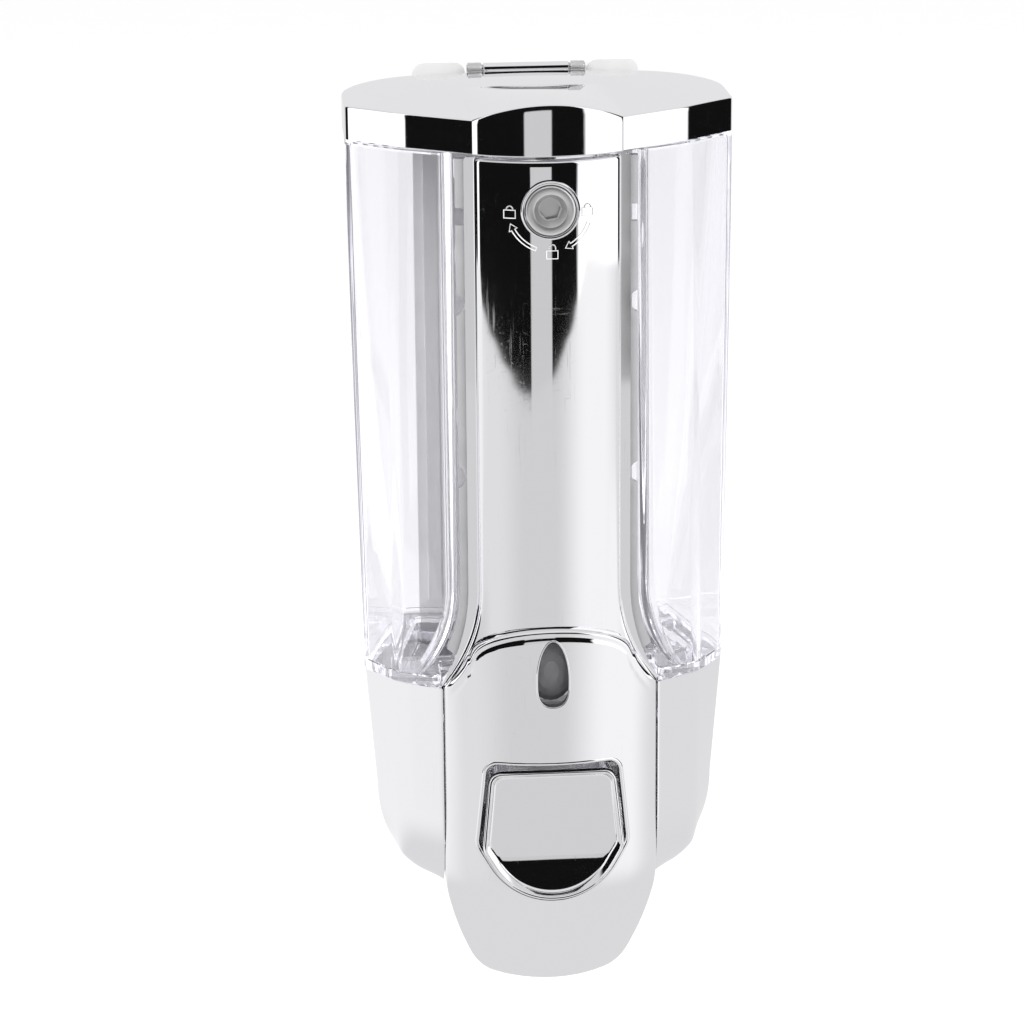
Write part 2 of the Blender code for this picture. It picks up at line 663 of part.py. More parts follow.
def pump_piston(material):
    """The rod that plugs into the button, and the piston head with a groove for its ring."""
    front = PISTON_Y - 2.0
    back = PISTON_Y + 2.0
    profile = [(2.45, -59.0), (2.45, front), (7.2, front), (7.2, front + 1.1), (5.9, front + 1.1)]
    profile += [(5.9, back - 1.1), (7.2, back - 1.1), (7.2, back), (2.2, back), (2.2, back + 1.4)]
    shape = turned(profile, (0.0, BUTTON_AXIS_Z), "Y")
    solid("pump_piston", shape, material, origin=(0.0, PISTON_Y, BUTTON_AXIS_Z))


def piston_ring(material):
    ring = turned(circle(0.65, (6.75, PISTON_Y), 8), (0.0, BUTTON_AXIS_Z), "Y", hollow=True)
    solid("piston_ring", ring, material, origin=(0.0, PISTON_Y, BUTTON_AXIS_Z))


def pump_spring(material):
    """The coil behind the piston that pushes the button out again."""
    radius = 4.6
    wire = 0.4
    turns = 5
    around = 16
    front_y = PISTON_Y + 2.8
    back_y = CHAMBER_BACK_Y - 2.6
    rings = []
    for i in range(turns * around + 1):
        angle = 2.0 * math.pi * i / around
        y = blend(front_y, back_y, i / (turns * around))
        ring = []
        for k in range(6):
            tilt = 2.0 * math.pi * k / 6
            out = radius + wire * math.cos(tilt)
            along = y + wire * math.sin(tilt)
            ring.append((out * math.cos(angle), along, BUTTON_AXIS_Z + out * math.sin(angle)))
        rings.append(ring)
    solid("pump_spring", loft(rings), material, origin=(0.0, back_y, BUTTON_AXIS_Z))


def pump_body(material):
    """The pump's chamber, lying front to back, with its inlet cup above, outlet below and two screw ears."""
    barrel = rod(CHAMBER_R, (0.0, BUTTON_AXIS_Z), "Y", CHAMBER_FRONT_Y, CHAMBER_BACK_Y)
    made = solid("pump_body", barrel, material)
    inlet = rod(8.4, (0.0, PUMP_Y), "Z", -92.0, -75.0)
    outlet = rod(5.6, (0.0, PUMP_Y), "Z", -112.0, -98.0, 24)
    ears = []
    for side in (-1, 1):
        edges = sorted((side * 6.0, side * (BOSS_X + 0.2)))
        ears.append(block((edges[0], EAR_FRONT_Y, -99.0), (edges[1], EAR_BACK_Y, -91.0)))
        ears.append(rod(4.0, (side * BOSS_X, BUTTON_AXIS_Z), "Y", EAR_FRONT_Y, EAR_BACK_Y, 20))
    combine(made, "UNION", [inlet, outlet, *ears])
    chamber = rod(CHAMBER_BORE_R, (0.0, BUTTON_AXIS_Z), "Y", -60.0, CHAMBER_BACK_Y - 2.0)
    cup = rod(6.7, (0.0, PUMP_Y), "Z", -84.6, -70.0)
    inlet_port = rod(2.2, (0.0, PUMP_Y), "Z", -92.0, -80.0, 16)
    outlet_bore = rod(3.9, (0.0, PUMP_Y), "Z", -118.0, -105.6, 20)
    outlet_port = rod(2.2, (0.0, PUMP_Y), "Z", -110.0, -96.0, 16)
    ear_holes = [rod(1.7, (side * BOSS_X, BUTTON_AXIS_Z), "Y", -50.0, -34.0, 16) for side in (-1, 1)]
    combine(made, "DIFFERENCE", [chamber, cup, inlet_port, outlet_bore, outlet_port, *ear_holes])
    return made


def pump_cap(material):
    """The ring that closes the chamber's mouth and guides the rod."""
    front = CHAMBER_FRONT_Y - 2.0
    seat = CHAMBER_FRONT_Y - GAP
    profile = [(2.75, front), (CHAMBER_R, front), (CHAMBER_R, seat), (7.3, seat)]
    profile += [(7.3, seat + 0.9), (2.75, seat + 0.9)]
    solid("pump_cap", turned(profile, (0.0, BUTTON_AXIS_Z), "Y", hollow=True), material)


def pump_screws(material_maker):
    for side, word in ((-1, "left"), (1, "right")):
        head = EAR_FRONT_Y - GAP
        profile = [(2.0, head - 2.0), (2.7, head - 1.5), (2.7, head), (1.15, head)]
        profile += [(1.15, -31.2), (0.4, -30.6)]
        centre = (side * BOSS_X, BUTTON_AXIS_Z)
        solid(f"pump_screw_{word}", turned(profile, centre, "Y", segments=14), material_maker())


def tank_seal(material):
    points = circle(0.65, (5.85, -76.6), 10)
    solid("tank_seal", turned(points, (0.0, PUMP_Y), "Z", hollow=True), material)


def inlet_valve(material):
    """An umbrella valve on the floor of the inlet cup."""
    profile = [(1.0, -84.2), (5.6, -84.2), (5.9, -83.7), (4.0, -82.9), (1.2, -82.4)]
    solid("inlet_valve", turned(profile, (0.0, PUMP_Y), "Z", segments=24), material)


def outlet_valve(material):
    """A duckbill valve in the outlet, whose lips part as soap is pushed through."""
    profile = [(3.5, -106.0), (3.5, -107.4), (2.6, -108.0), (1.4, -111.4), (0.8, -111.4), (1.6, -107.6)]
    profile.append((1.6, -106.0))
    solid("outlet_valve", turned(profile, (0.0, PUMP_Y), "Z", hollow=True, segments=20), material)


def nozzle(material):
    """The drip nozzle pushed on to the outlet, which reaches through the housing's floor."""
    profile = [(7.2, -105.0), (7.2, -113.5), (4.4, -124.0), (2.4, -124.0), (2.4, -113.0), (5.9, -112.6)]
    profile.append((5.9, -105.0))
    solid("nozzle", turned(profile, (0.0, PUMP_Y), "Z", hollow=True), material)


def sight_lens(material):
    """The clear bead behind the window in the cover."""
    rings = []
    for y, radius in ((-57.8, 7.0), (-58.9, 7.0), (-59.8, 5.8), (-60.5, 4.2), (-60.8, 2.2)):
        rings.append([(x * 0.8, y, -60.0 + z * 1.1) for x, z in circle(radius, segments=24)])
    solid("sight_lens", loft(rings), material)


def build():
    clear_scene()
    wall_plate(grey_plastic("grey_wall_plate"))
    tank(clear_plastic("clear_tank"))
    base_shell(chrome("chrome_base_shell"))
    front_cover(chrome("chrome_front_cover"))
    spine(grey_plastic("grey_spine"))
    lid(chrome("chrome_lid"))
    lid_seal(silicone("silicone_lid_seal"))
    hinge_pin(steel("steel_hinge_pin"))
    lock_bezel(chrome("chrome_lock_bezel"))
    lock_nut(steel("steel_lock_nut"))
    lock_cylinder(finish("grey_lock_cylinder", (0.5, 0.5, 0.5), 0.35, metallic=0.9))
    lock_cam(steel("steel_lock_cam"))
    lock_screw(steel("steel_lock_screw"))
    button(chrome("chrome_button"))
    pump_piston(white_plastic("white_piston"))
    piston_ring(silicone("silicone_piston_ring"))
    pump_spring(steel("steel_spring"))
    pump_body(white_plastic("white_pump_body"))
    pump_cap(white_plastic("white_pump_cap"))
    tank_seal(silicone("silicone_tank_seal"))
    inlet_valve(silicone("silicone_inlet_valve"))
    outlet_valve(silicone("silicone_outlet_valve"))
    nozzle(white_plastic("white_nozzle"))
    sight_lens(clear_plastic("clear_sight_lens"))
    cover_screws(lambda: steel("steel_cover_screw"))
    shell_screws(lambda: steel("steel_shell_screw"))
    pump_screws(lambda: steel("steel_pump_screw"))


build()
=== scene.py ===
"""The looks of a wall mounted soap dispenser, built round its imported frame.

Pieces are written in millimetres, and the camera, the lights and the floor in metres.
"""

import math

import bpy
from mathutils import Matrix, Vector


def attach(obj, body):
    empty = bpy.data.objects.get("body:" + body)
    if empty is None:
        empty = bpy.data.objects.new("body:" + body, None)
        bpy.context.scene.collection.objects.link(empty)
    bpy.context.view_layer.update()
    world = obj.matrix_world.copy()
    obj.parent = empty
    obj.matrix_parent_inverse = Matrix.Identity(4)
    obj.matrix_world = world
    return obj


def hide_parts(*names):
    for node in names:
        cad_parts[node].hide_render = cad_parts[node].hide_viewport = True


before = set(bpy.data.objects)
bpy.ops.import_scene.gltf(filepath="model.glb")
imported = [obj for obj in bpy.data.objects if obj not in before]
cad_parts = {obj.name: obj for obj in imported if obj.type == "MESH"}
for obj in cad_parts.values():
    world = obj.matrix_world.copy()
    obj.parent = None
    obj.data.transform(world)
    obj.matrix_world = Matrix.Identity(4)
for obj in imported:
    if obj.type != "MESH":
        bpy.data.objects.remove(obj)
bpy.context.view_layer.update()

# Camera and studio. The camera stands a little left of the middle and above, as over a wash basin. The floor
# and the walls are plain and pale, and what the chrome mirrors is a white table that ends in front of a dark
# room, with tall white screens to both sides.
MM = 0.001
CAMERA_PLACE = (-0.0716, -0.8330, 0.2128)
TURNED_LEFT, TIPPED_DOWN, ROLLED = 4.65, 16.83, 0.48
FOCAL_LENGTH, SENSOR_WIDTH = 125.9, 36.0
FLOOR_Z = -0.24
LIT_POINT = (0.0, 0.0, -0.03)

camera = bpy.data.objects.new("camera", bpy.data.cameras.new("camera"))
bpy.context.scene.collection.objects.link(camera)
bpy.context.scene.camera = camera
camera.location = CAMERA_PLACE
turned_left = Matrix.Rotation(math.radians(-TURNED_LEFT), 4, "Z")
tipped_down = Matrix.Rotation(math.radians(90.0 - TIPPED_DOWN), 4, "X")
rolled = Matrix.Rotation(math.radians(-ROLLED), 4, "Z")
camera.rotation_euler = (turned_left @ tipped_down @ rolled).to_euler()
camera.data.lens = FOCAL_LENGTH
camera.data.sensor_width = SENSOR_WIDTH
camera.data.clip_start = 0.01

bpy.context.scene.view_settings.view_transform = "Standard"
bpy.context.scene.cycles.max_bounces = 24
bpy.context.scene.cycles.glossy_bounces = 12
bpy.context.scene.cycles.transmission_bounces = 20

bpy.ops.object.select_all(action="DESELECT")
bpy.ops.mesh.primitive_plane_add(size=8.0, location=(0.0, 0.0, FLOOR_Z))
floor = bpy.context.object
floor.name = "floor"
floor.visible_glossy = False
floor_paint = bpy.data.materials.new("floor_paint")
floor_paint.use_nodes = True
paint = floor_paint.node_tree.nodes["Principled BSDF"]
paint.inputs["Base Color"].default_value = (0.92, 0.92, 0.92, 1.0)
paint.inputs["Roughness"].default_value = 0.9
floor.data.materials.append(floor_paint)

for name, place, size, power in (
    ("window_light", (-0.9, -0.9, 1.0), 0.8, 9.0),
    ("room_light", (0.9, -0.5, 0.9), 0.8, 6.0),
):
    light = bpy.data.objects.new(name, bpy.data.lights.new(name, "AREA"))
    light.data.energy = power
    light.data.size = size
    light.location = place
    aim = Vector(LIT_POINT) - light.location
    light.rotation_euler = aim.to_track_quat("-Z", "Y").to_euler()
    light.visible_glossy = False
    bpy.context.scene.collection.objects.link(light)

world = bpy.data.worlds.new("studio")
world.use_nodes = True
bpy.context.scene.world = world
tree = world.node_tree
tree.nodes.clear()


def step(kind, *inputs):
    """A Math node of the studio's walls, fed by numbers and other nodes' outputs."""
    node = tree.nodes.new("ShaderNodeMath")
    node.operation = kind
    for socket, value in zip(node.inputs, inputs):
        if isinstance(value, (int, float)):
            socket.default_value = value
        else:
            tree.links.new(value, socket)
    return node.outputs["Value"]


def ramp(value, low, high):
    """0 at low, 1 at high, and a soft edge between."""
    node = tree.nodes.new("ShaderNodeMapRange")
    node.interpolation_type = "SMOOTHSTEP"
    tree.links.new(value, node.inputs["Value"])
    node.inputs["From Min"].default_value = min(low, high)
    node.inputs["From Max"].default_value = max(low, high)
    if high < low:
        node.inputs["To Min"].default_value = 1.0
        node.inputs["To Max"].default_value = 0.0
    return node.outputs["Result"]


def band(value, low, high, soft):
    """1 between low and high, with edges soft wide."""
    inside = ramp(value, low - soft, low + soft)
    past = ramp(value, high - soft, high + soft)
    return step("SUBTRACT", inside, past)


def layered(over, under, mask):
    """over where mask is 1, and under where it is 0."""
    change = step("MULTIPLY", step("SUBTRACT", over, under), mask)
    return step("ADD", under, change)


direction = tree.nodes.new("ShaderNodeTexCoord").outputs["Generated"]
split = tree.nodes.new("ShaderNodeSeparateXYZ")
tree.links.new(direction, split.inputs["Vector"])
# Degrees round from the front, positive towards +X, and degrees above the horizon.
forward = step("MULTIPLY", split.outputs["Y"], -1.0)
azimuth = step("DEGREES", step("ARCTAN2", split.outputs["X"], forward))
elevation = step("DEGREES", step("ARCSINE", split.outputs["Z"]))
aside = step("ABSOLUTE", azimuth)

# The table's far edge is lowest left of the middle and rises slowly to both sides.
TABLE_EDGE_LOW, TABLE_EDGE_HIGH = -14.95, -12.8
TABLE_EDGE_AZIMUTH, TABLE_EDGE_BOW = -12.0, 0.00076
TABLE_EDGE_SOFT = 0.12
TABLE_SHADE = 0.73
# Brightness, the angle it goes by, and the degrees at which it sets in and is full.
TABLE_LAYERS = (
    (1.06, azimuth, 8.0, 42.0),
    (0.83, azimuth, 56.0, 70.0),
    (0.85, azimuth, -20.0, -46.0),
    (1.01, azimuth, -50.0, -62.0),
    (0.81, elevation, -25.0, -40.0),
)
off_axis = step("ADD", azimuth, -TABLE_EDGE_AZIMUTH)
rise = step("MULTIPLY", TABLE_EDGE_BOW, step("MULTIPLY", off_axis, off_axis))
table_edge = step("MINIMUM", step("ADD", TABLE_EDGE_LOW, rise), TABLE_EDGE_HIGH)
above_table = ramp(step("SUBTRACT", elevation, table_edge), -TABLE_EDGE_SOFT, TABLE_EDGE_SOFT)
table = TABLE_SHADE
for brightness, angle, start, full in TABLE_LAYERS:
    table = layered(brightness, table, ramp(angle, start, full))

# Above the table: a low grey strip in a dark room, a white screen to each side, and pale walls behind.
ROOM_DARK, STRIP_GREY, SCREEN_WHITE = 0.006, 0.68, 1.35
WALL_PALE, CEILING_PALE = 0.85, 0.86
STUDIO_WHITE = 1.06
window_strip = step("MULTIPLY", band(azimuth, -13.8, 6.6, 0.7), ramp(elevation, -7.0, -8.5))
room = layered(STRIP_GREY, ROOM_DARK, window_strip)
room = layered(SCREEN_WHITE, room, band(azimuth, 32.0, 84.0, 1.6))
room = layered(SCREEN_WHITE, room, band(azimuth, -90.0, -66.0, 1.0))
room = layered(WALL_PALE, room, ramp(aside, 122.0, 128.0))
ceiling = layered(CEILING_PALE, room, ramp(elevation, 34.0, 44.0))
studio = layered(ceiling, table, above_table)

paths = tree.nodes.new("ShaderNodeLightPath")
outside_glass = step("SUBTRACT", 1.0, paths.outputs["Is Transmission Ray"])
mirrored_ray = step("MULTIPLY", paths.outputs["Is Glossy Ray"], outside_glass)
# Every ray but a mirrored one sees the studio plain and white.
strength = layered(studio, STUDIO_WHITE, mirrored_ray)
tint = tree.nodes.new("ShaderNodeBackground")
tint.inputs["Color"].default_value = (0.99, 0.99, 1.0, 1.0)
tree.links.new(strength, tint.inputs["Strength"])
surroundings = tree.nodes.new("ShaderNodeOutputWorld")
tree.links.new(tint.outputs["Background"], surroundings.inputs["Surface"])


# Front cover: one chrome plated ABS moulding. A bowed column comes down from the lid and flares into shoulders,
# and an arched panel with a rolled edge stands proud of it, runs down round the button and ends in a chin.
SMOOTH_ANGLE = math.radians(32.0)
WELD = 0.000001


def formed(name, across, along, place):
    """A grid whose points are set out by place(column, row). Its seams are welded and its ends closed."""
    bpy.ops.object.select_all(action="DESELECT")
    bpy.ops.mesh.primitive_grid_add(x_subdivisions=across, y_subdivisions=along, size=2.0)
    piece = bpy.context.object
    piece.name = name
    for vertex in piece.data.vertices:
        column = round((0.5 + 0.5 * vertex.co.x) * across)
        row = round((0.5 + 0.5 * vertex.co.y) * along)
        vertex.co = Vector(place(column, row)) * MM
    bpy.ops.object.mode_set(mode="EDIT")
    bpy.ops.mesh.select_all(action="SELECT")
    bpy.ops.mesh.remove_doubles(threshold=WELD)
    bpy.ops.mesh.fill_holes(sides=0)
    bpy.ops.mesh.select_all(action="SELECT")
    bpy.ops.mesh.normals_make_consistent(inside=False)
    bpy.ops.object.mode_set(mode="OBJECT")
    bpy.ops.object.shade_smooth_by_angle(angle=SMOOTH_ANGLE)
    return piece


def lofted(name, rings):
    """A closed skin through closed rings of equal length."""
    count = len(rings[0])
    return formed(name, count, len(rings) - 1, lambda column, row: rings[row][column % count])


def cut(piece, operation, *tools):
    """Applies Booleans to piece and removes their tools."""
    for tool in tools:
        boolean = piece.modifiers.new("boolean", "BOOLEAN")
        boolean.operation = operation
        boolean.object = tool
        bpy.context.view_layer.objects.active = piece
        bpy.ops.object.modifier_apply(modifier=boolean.name)
        bpy.data.objects.remove(tool, do_unlink=True)
    bpy.ops.object.select_all(action="DESELECT")
    piece.select_set(True)
    bpy.context.view_layer.objects.active = piece
    bpy.ops.object.shade_smooth_by_angle(angle=SMOOTH_ANGLE)


LEAST_RADIUS = 0.3


def offset(corners, inset):
    """A polygon of (x, y, radius) corners, counter-clockwise, moved inwards by inset."""
    moved = []
    count = len(corners)
    for i, (x, y, radius) in enumerate(corners):
        last, following = corners[i - 1], corners[(i + 1) % count]
        before = Vector((x - last[0], y - last[1])).normalized()
        after = Vector((following[0] - x, following[1] - y)).normalized()
        normal_a = Vector((-before.y, before.x))
        normal_b = Vector((-after.y, after.x))
        out = (normal_a + normal_b) * (inset / (1.0 + normal_a.dot(normal_b)))
        convex = before.cross(after) > 0.0
        radius = max(radius - inset, LEAST_RADIUS) if convex else radius + inset
        moved.append((x + out.x, y + out.y, radius))
    return moved


def outline(corners, arc_steps=10, edge_steps=6):
    """The points round a polygon of (x, y, radius) corners: an arc at each corner, and steps along each side."""
    arcs = []
    count = len(corners)
    for i, (x, y, radius) in enumerate(corners):
        corner = Vector((x, y))
        before = (Vector(corners[i - 1][:2]) - corner).normalized()
        after = (Vector(corners[(i + 1) % count][:2]) - corner).normalized()
        half_angle = 0.5 * before.angle(after)
        reach = radius / math.tan(half_angle)
        middle = corner + (before + after).normalized() * (radius / math.sin(half_angle))
        start = corner + before * reach - middle
        sweep = start.angle_signed(corner + after * reach - middle)
        arc = []
        for k in range(arc_steps + 1):
            arm = start.copy()
            arm.rotate(Matrix.Rotation(-sweep * k / arc_steps, 2))
            arc.append(middle + arm)
        arcs.append(arc)
    points = []
    for i, arc in enumerate(arcs):
        following = arcs[(i + 1) % count][0]
        points += [(point.x, point.y) for point in arc]
        for k in range(1, edge_steps):
            between = arc[-1].lerp(following, k / edge_steps)
            points.append((between.x, between.y))
    return points


def circle(radius, count, across=0.0, up=0.0, turn=0.0):
    """Points round a circle about (across, up), starting at the angle turn."""
    angles = [k * math.tau / count + turn for k in range(count)]
    return [(across + radius * math.cos(a), up + radius * math.sin(a)) for a in angles]


def mirrored(half):
    """A whole polygon from the +X half of its corners, listed from the front to the back."""
    return half + [(-x, y, radius) for x, y, radius in reversed(half)]


def blend(start, end, amount):
    """start at 0, end at 1."""
    return start + (end - start) * amount


def smooth(value):
    """0 to 1 with level ends."""
    value = min(1.0, max(0.0, value))
    return value * value * (3.0 - 2.0 * value)


COLUMN_HALF = 16.3
COLUMN_Y = -63.4
COLUMN_EDGE_Y = -59.0
COLUMN_TOP_Z = 59.2
COLUMN_BASE_Z = -67.3
COLUMN_EDGE_RADIUS = 2.2
EDGE_INSET = 0.6
RIM_ROUND_Z = 58.2
RIM_ROUND = 0.75
SHOULDER_HALF = 24.6
SHOULDER_Z = -64.0
SHOULDER_SET_BACK = 0.5
BOW_HALF = 13.0
BOW_EASE = 4.0
EASE_TOP_Z = -18.0
EASE_SPAN = 26.0
FLARE_TOP_Z = -40.0
FLARE_POWER = 2.2
FLANGE_TOP, FLANGE_FOOT = 2.3, 0.3
FLANGE_THICK = 0.9
COVER_BACK_Y = -55.8
COVER_WALL = 2.2
CHIN_Z = -138.0


def flare(z):
    """0 on the straight column, 1 at the shoulders."""
    return min(1.0, max(0.0, (FLARE_TOP_Z - z) / (FLARE_TOP_Z - SHOULDER_Z))) ** FLARE_POWER


def column_half(z):
    return blend(COLUMN_HALF, SHOULDER_HALF, flare(z))


def shoulder_y(x):
    """The front of the cover where it flares: it follows the column's bow, then eases off sideways."""
    bow = (COLUMN_EDGE_Y - COLUMN_Y) / (COLUMN_HALF - EDGE_INSET) ** 2
    if abs(x) < BOW_HALF:
        return COLUMN_Y + bow * x * x
    eased_off = 1.0 - math.exp((BOW_HALF - abs(x)) / BOW_EASE)
    return COLUMN_Y + bow * BOW_HALF**2 + 2.0 * BOW_HALF * bow * BOW_EASE * eased_off


FRONT_CHORDS, EDGE_CHORDS, INNER_CHORDS = 44, 6, 20


def channel(half, centre_y, edge_y, back_y, wall, edge_radius, flange=0.0):
    """The (x, y) points round a bowed front with side walls and rounded edges, and back along its inside."""
    front_half = half - 0.5 * edge_radius
    crown = edge_y - centre_y
    right = []
    for k in range(FRONT_CHORDS + 1):
        right.append((front_half * k / FRONT_CHORDS, centre_y + crown * (k / FRONT_CHORDS) ** 2))
    lean = math.atan(2.0 * crown / front_half)
    middle_x = front_half - edge_radius * math.sin(lean)
    middle_y = edge_y + edge_radius * math.cos(lean)
    for k in range(1, EDGE_CHORDS + 1):
        turn = blend(lean, 0.5 * math.pi, k / EDGE_CHORDS)
        right.append((middle_x + edge_radius * math.sin(turn), middle_y - edge_radius * math.cos(turn)))
    side_x = right[-1][0]
    if flange:
        fold_y = back_y - FLANGE_THICK
        right += [(side_x, back_y - 1.1), (side_x + 0.15, fold_y), (side_x + flange, fold_y)]
    right += [(side_x + flange, back_y), (side_x - wall, back_y)]
    inner_half = side_x - wall
    for k in range(INNER_CHORDS):
        reach = 1.0 - k / INNER_CHORDS
        right.append((inner_half * reach, centre_y + wall + crown * reach * reach * 0.96))
    right.append((0.0, centre_y + wall))
    return right + [(-x, y) for x, y in reversed(right[1:-1])]


column_levels = [COLUMN_TOP_Z, 59.05, 58.8, 58.4, 57.8, 50.0, 30.0, 10.0, -10.0, -30.0]
column_levels += [blend(FLARE_TOP_Z, COLUMN_BASE_Z, k / 30) for k in range(31)]
column_rings = []
for z in column_levels:
    near_rim = max(0.0, (z - RIM_ROUND_Z) / (COLUMN_TOP_Z - RIM_ROUND_Z))
    rounding = RIM_ROUND * (1.0 - math.sqrt(1.0 - near_rim**2))
    edge_y = blend(COLUMN_EDGE_Y, COLUMN_EDGE_Y + SHOULDER_SET_BACK, flare(z))
    section = channel(
        column_half(z) - rounding,
        COLUMN_Y + rounding,
        edge_y + rounding,
        COVER_BACK_Y,
        COVER_WALL - rounding,
        COLUMN_EDGE_RADIUS,
        flange=blend(FLANGE_TOP, FLANGE_FOOT, flare(z)),
    )
    eased = smooth((EASE_TOP_Z - z) / EASE_SPAN)
    ring = []
    for x, y in section:
        if y < COVER_BACK_Y - 1.2:
            reach = min(1.0, abs(x) / (column_half(z) - EDGE_INSET))
            own = COLUMN_Y + (edge_y - COLUMN_Y) * reach**2
            y += eased * (shoulder_y(x) - own)
        ring.append((x, y, z))
    column_rings.append(ring)
cover_column = lofted("cover_column", column_rings)

# The panel's sections from the arch down to the chin: height, half width, middle y, edge y, back y
PANEL_SECTIONS = [
    (-46.0, 24.3, -65.2, -58.2, -53.0),
    (-75.0, 24.3, -65.8, -58.3, -51.0),
    (-92.0, 24.3, -65.8, -58.3, -50.6),
    (-108.0, 24.4, -65.2, -57.8, -50.2),
    (-114.0, 24.1, -64.6, -57.2, -49.8),
    (-120.0, 22.8, -63.4, -56.0, -48.9),
    (-125.7, 21.1, -61.8, -54.5, -47.6),
    (-130.2, 19.4, -60.2, -53.2, -46.4),
    (-133.8, 17.8, -58.8, -52.2, -45.6),
    (-136.1, 16.0, -57.8, -51.9, -45.4),
    (-137.4, 13.8, -57.2, -52.4, -46.0),
    (CHIN_Z, 11.0, -56.9, -53.4, -47.6),
]
ARCH_TOP_Z = -48.6
ARCH_HALF = 18.6
ARCH_RISE = 7.2
PANEL_HALF = 24.3
PANEL_GROWTH = 0.4
PANEL_TOP_ROWS = 30
PANEL_ROW_Z = -66.0
PANEL_WALL = 2.6
PANEL_EDGE_RADIUS = 1.0
RIDGE_WIDTH = 0.8
RIDGE_MOST = 2.0
GROOVE_WIDTH, GROOVE_END = 1.8, 2.6
GROOVE_DEPTH = 0.05


def panel_section(z):
    """The panel's section at height z, on a smooth curve through the listed ones."""
    z = min(PANEL_SECTIONS[0][0], max(PANEL_SECTIONS[-1][0], z))
    i = 0
    while i < len(PANEL_SECTIONS) - 2 and z < PANEL_SECTIONS[i + 1][0]:
        i += 1
    last = len(PANEL_SECTIONS) - 1
    before, low, high, after = (PANEL_SECTIONS[min(last, max(0, i + k))] for k in (-1, 0, 1, 2))
    span = high[0] - low[0]
    t = (z - low[0]) / span
    values = []
    for k in range(1, 5):
        slope_low = (high[k] - before[k]) / (high[0] - before[0]) * span
        slope_high = (after[k] - low[k]) / (after[0] - low[0]) * span
        values.append(
            (PANEL_GROWTH if k == 1 else 0.0)
            + low[k] * (2 * t**3 - 3 * t**2 + 1)
            + slope_low * (t**3 - 2 * t**2 + t)
            + high[k] * (3 * t**2 - 2 * t**3)
            + slope_high * (t**3 - t**2)
        )
    return values


def arch_z(x):
    """The height of the panel's upper edge: an elliptical arch that runs out along the flare."""
    x = min(abs(x), PANEL_HALF)
    if x < ARCH_HALF:
        return ARCH_TOP_Z - ARCH_RISE * (1.0 - math.sqrt(1.0 - (x / ARCH_HALF) ** 2))
    opened = (x + 0.5 - COLUMN_HALF) / (SHOULDER_HALF - COLUMN_HALF)
    on_flare = FLARE_TOP_Z - (FLARE_TOP_Z - SHOULDER_Z) * min(1.0, opened) ** (1.0 / FLARE_POWER)
    return min(ARCH_TOP_Z - ARCH_RISE, on_flare)


def rolled_edge(distance, height):
    """How far the rolled edge draws the panel's face in: two rounded ridges with a groove between."""
    height = min(RIDGE_MOST, max(0.0, height))
    if distance < RIDGE_WIDTH:
        return height * (1.0 - math.sqrt(max(0.0, 1.0 - (1.0 - distance / RIDGE_WIDTH) ** 2)))
    if distance < GROOVE_END:
        across_groove = math.sin(math.pi * (distance - RIDGE_WIDTH) / GROOVE_WIDTH)
        return GROOVE_DEPTH * height * across_groove**2
    return 0.0


panel_levels = [blend(PANEL_ROW_Z, -132.0, k / 48) for k in range(1, 49)]
panel_levels += [-133.4, -134.7, -135.7, -136.4, -136.9, -137.3, -137.6, -137.85, CHIN_Z]
panel_rings = []
for row in range(PANEL_TOP_ROWS + 1 + len(panel_levels)):
    if row > PANEL_TOP_ROWS:
        z = panel_levels[row - PANEL_TOP_ROWS - 1]
        section = channel(*panel_section(z), PANEL_WALL, PANEL_EDGE_RADIUS)
        panel_rings.append([(x, y, z) for x, y in section])
        continue
    down = (row / PANEL_TOP_ROWS) ** 2
    foot = channel(*panel_section(PANEL_ROW_Z), PANEL_WALL, PANEL_EDGE_RADIUS)
    ring = []
    for column, (x, y) in enumerate(foot):
        top_z = arch_z(x)
        z = blend(top_z, PANEL_ROW_Z, down)
        y = channel(*panel_section(z), PANEL_WALL, PANEL_EDGE_RADIUS)[column][1]
        slope = 0.0
        if abs(x) > 0.3:
            slope = (arch_z(abs(x) + 0.2) - arch_z(abs(x) - 0.2)) / 0.4
        across_edge = (top_z - z) / math.sqrt(1.0 + slope * slope)
        if y < COVER_BACK_Y - 1.0:
            y += rolled_edge(across_edge, shoulder_y(x) - y)
        ring.append((x, y, z))
    panel_rings.append(ring)
cover_panel = lofted("cover_panel", panel_rings)


def shield(corners, inset=0.0):
    """The button's shape: a flat top, straight sides and a round bottom, moved inwards by inset."""
    polygon = list(reversed(corners)) + [(-x, z, radius) for x, z, radius in corners]
    return outline(offset(polygon, inset), 14, 8)


OPENING_CORNERS = [(15.6, -80.7, 3.5), (17.8, -101.8, 5.0), (9.93, -115.4, 17.1)]
WINDOW_TOP_Z = -51.2
WINDOW_BASE_Z = -67.4
WINDOW_HALF = 3.75
WINDOW_WAIST = 0.57


def window_half(share):
    """The window's half width at a share of its height from the top: an egg with a flattened foot."""
    if share < WINDOW_WAIST:
        return WINDOW_HALF * (1.0 - (1.0 - share / WINDOW_WAIST) ** 1.9) ** 0.52
    return WINDOW_HALF * (1.0 - ((share - WINDOW_WAIST) / (1.0 - WINDOW_WAIST)) ** 4) ** 0.5


def prism(name, points, near_y, far_y):
    """A straight solid along Y from (x, z) points."""
    return lofted(name, [[(x, y, z) for x, z in points] for y in (near_y, far_y)])


def panel_face_y(x, z):
    """The panel's front face at (x, z)."""
    half, centre_y, edge_y, _ = panel_section(z)
    return centre_y + (edge_y - centre_y) * (x / (half - 0.5)) ** 2


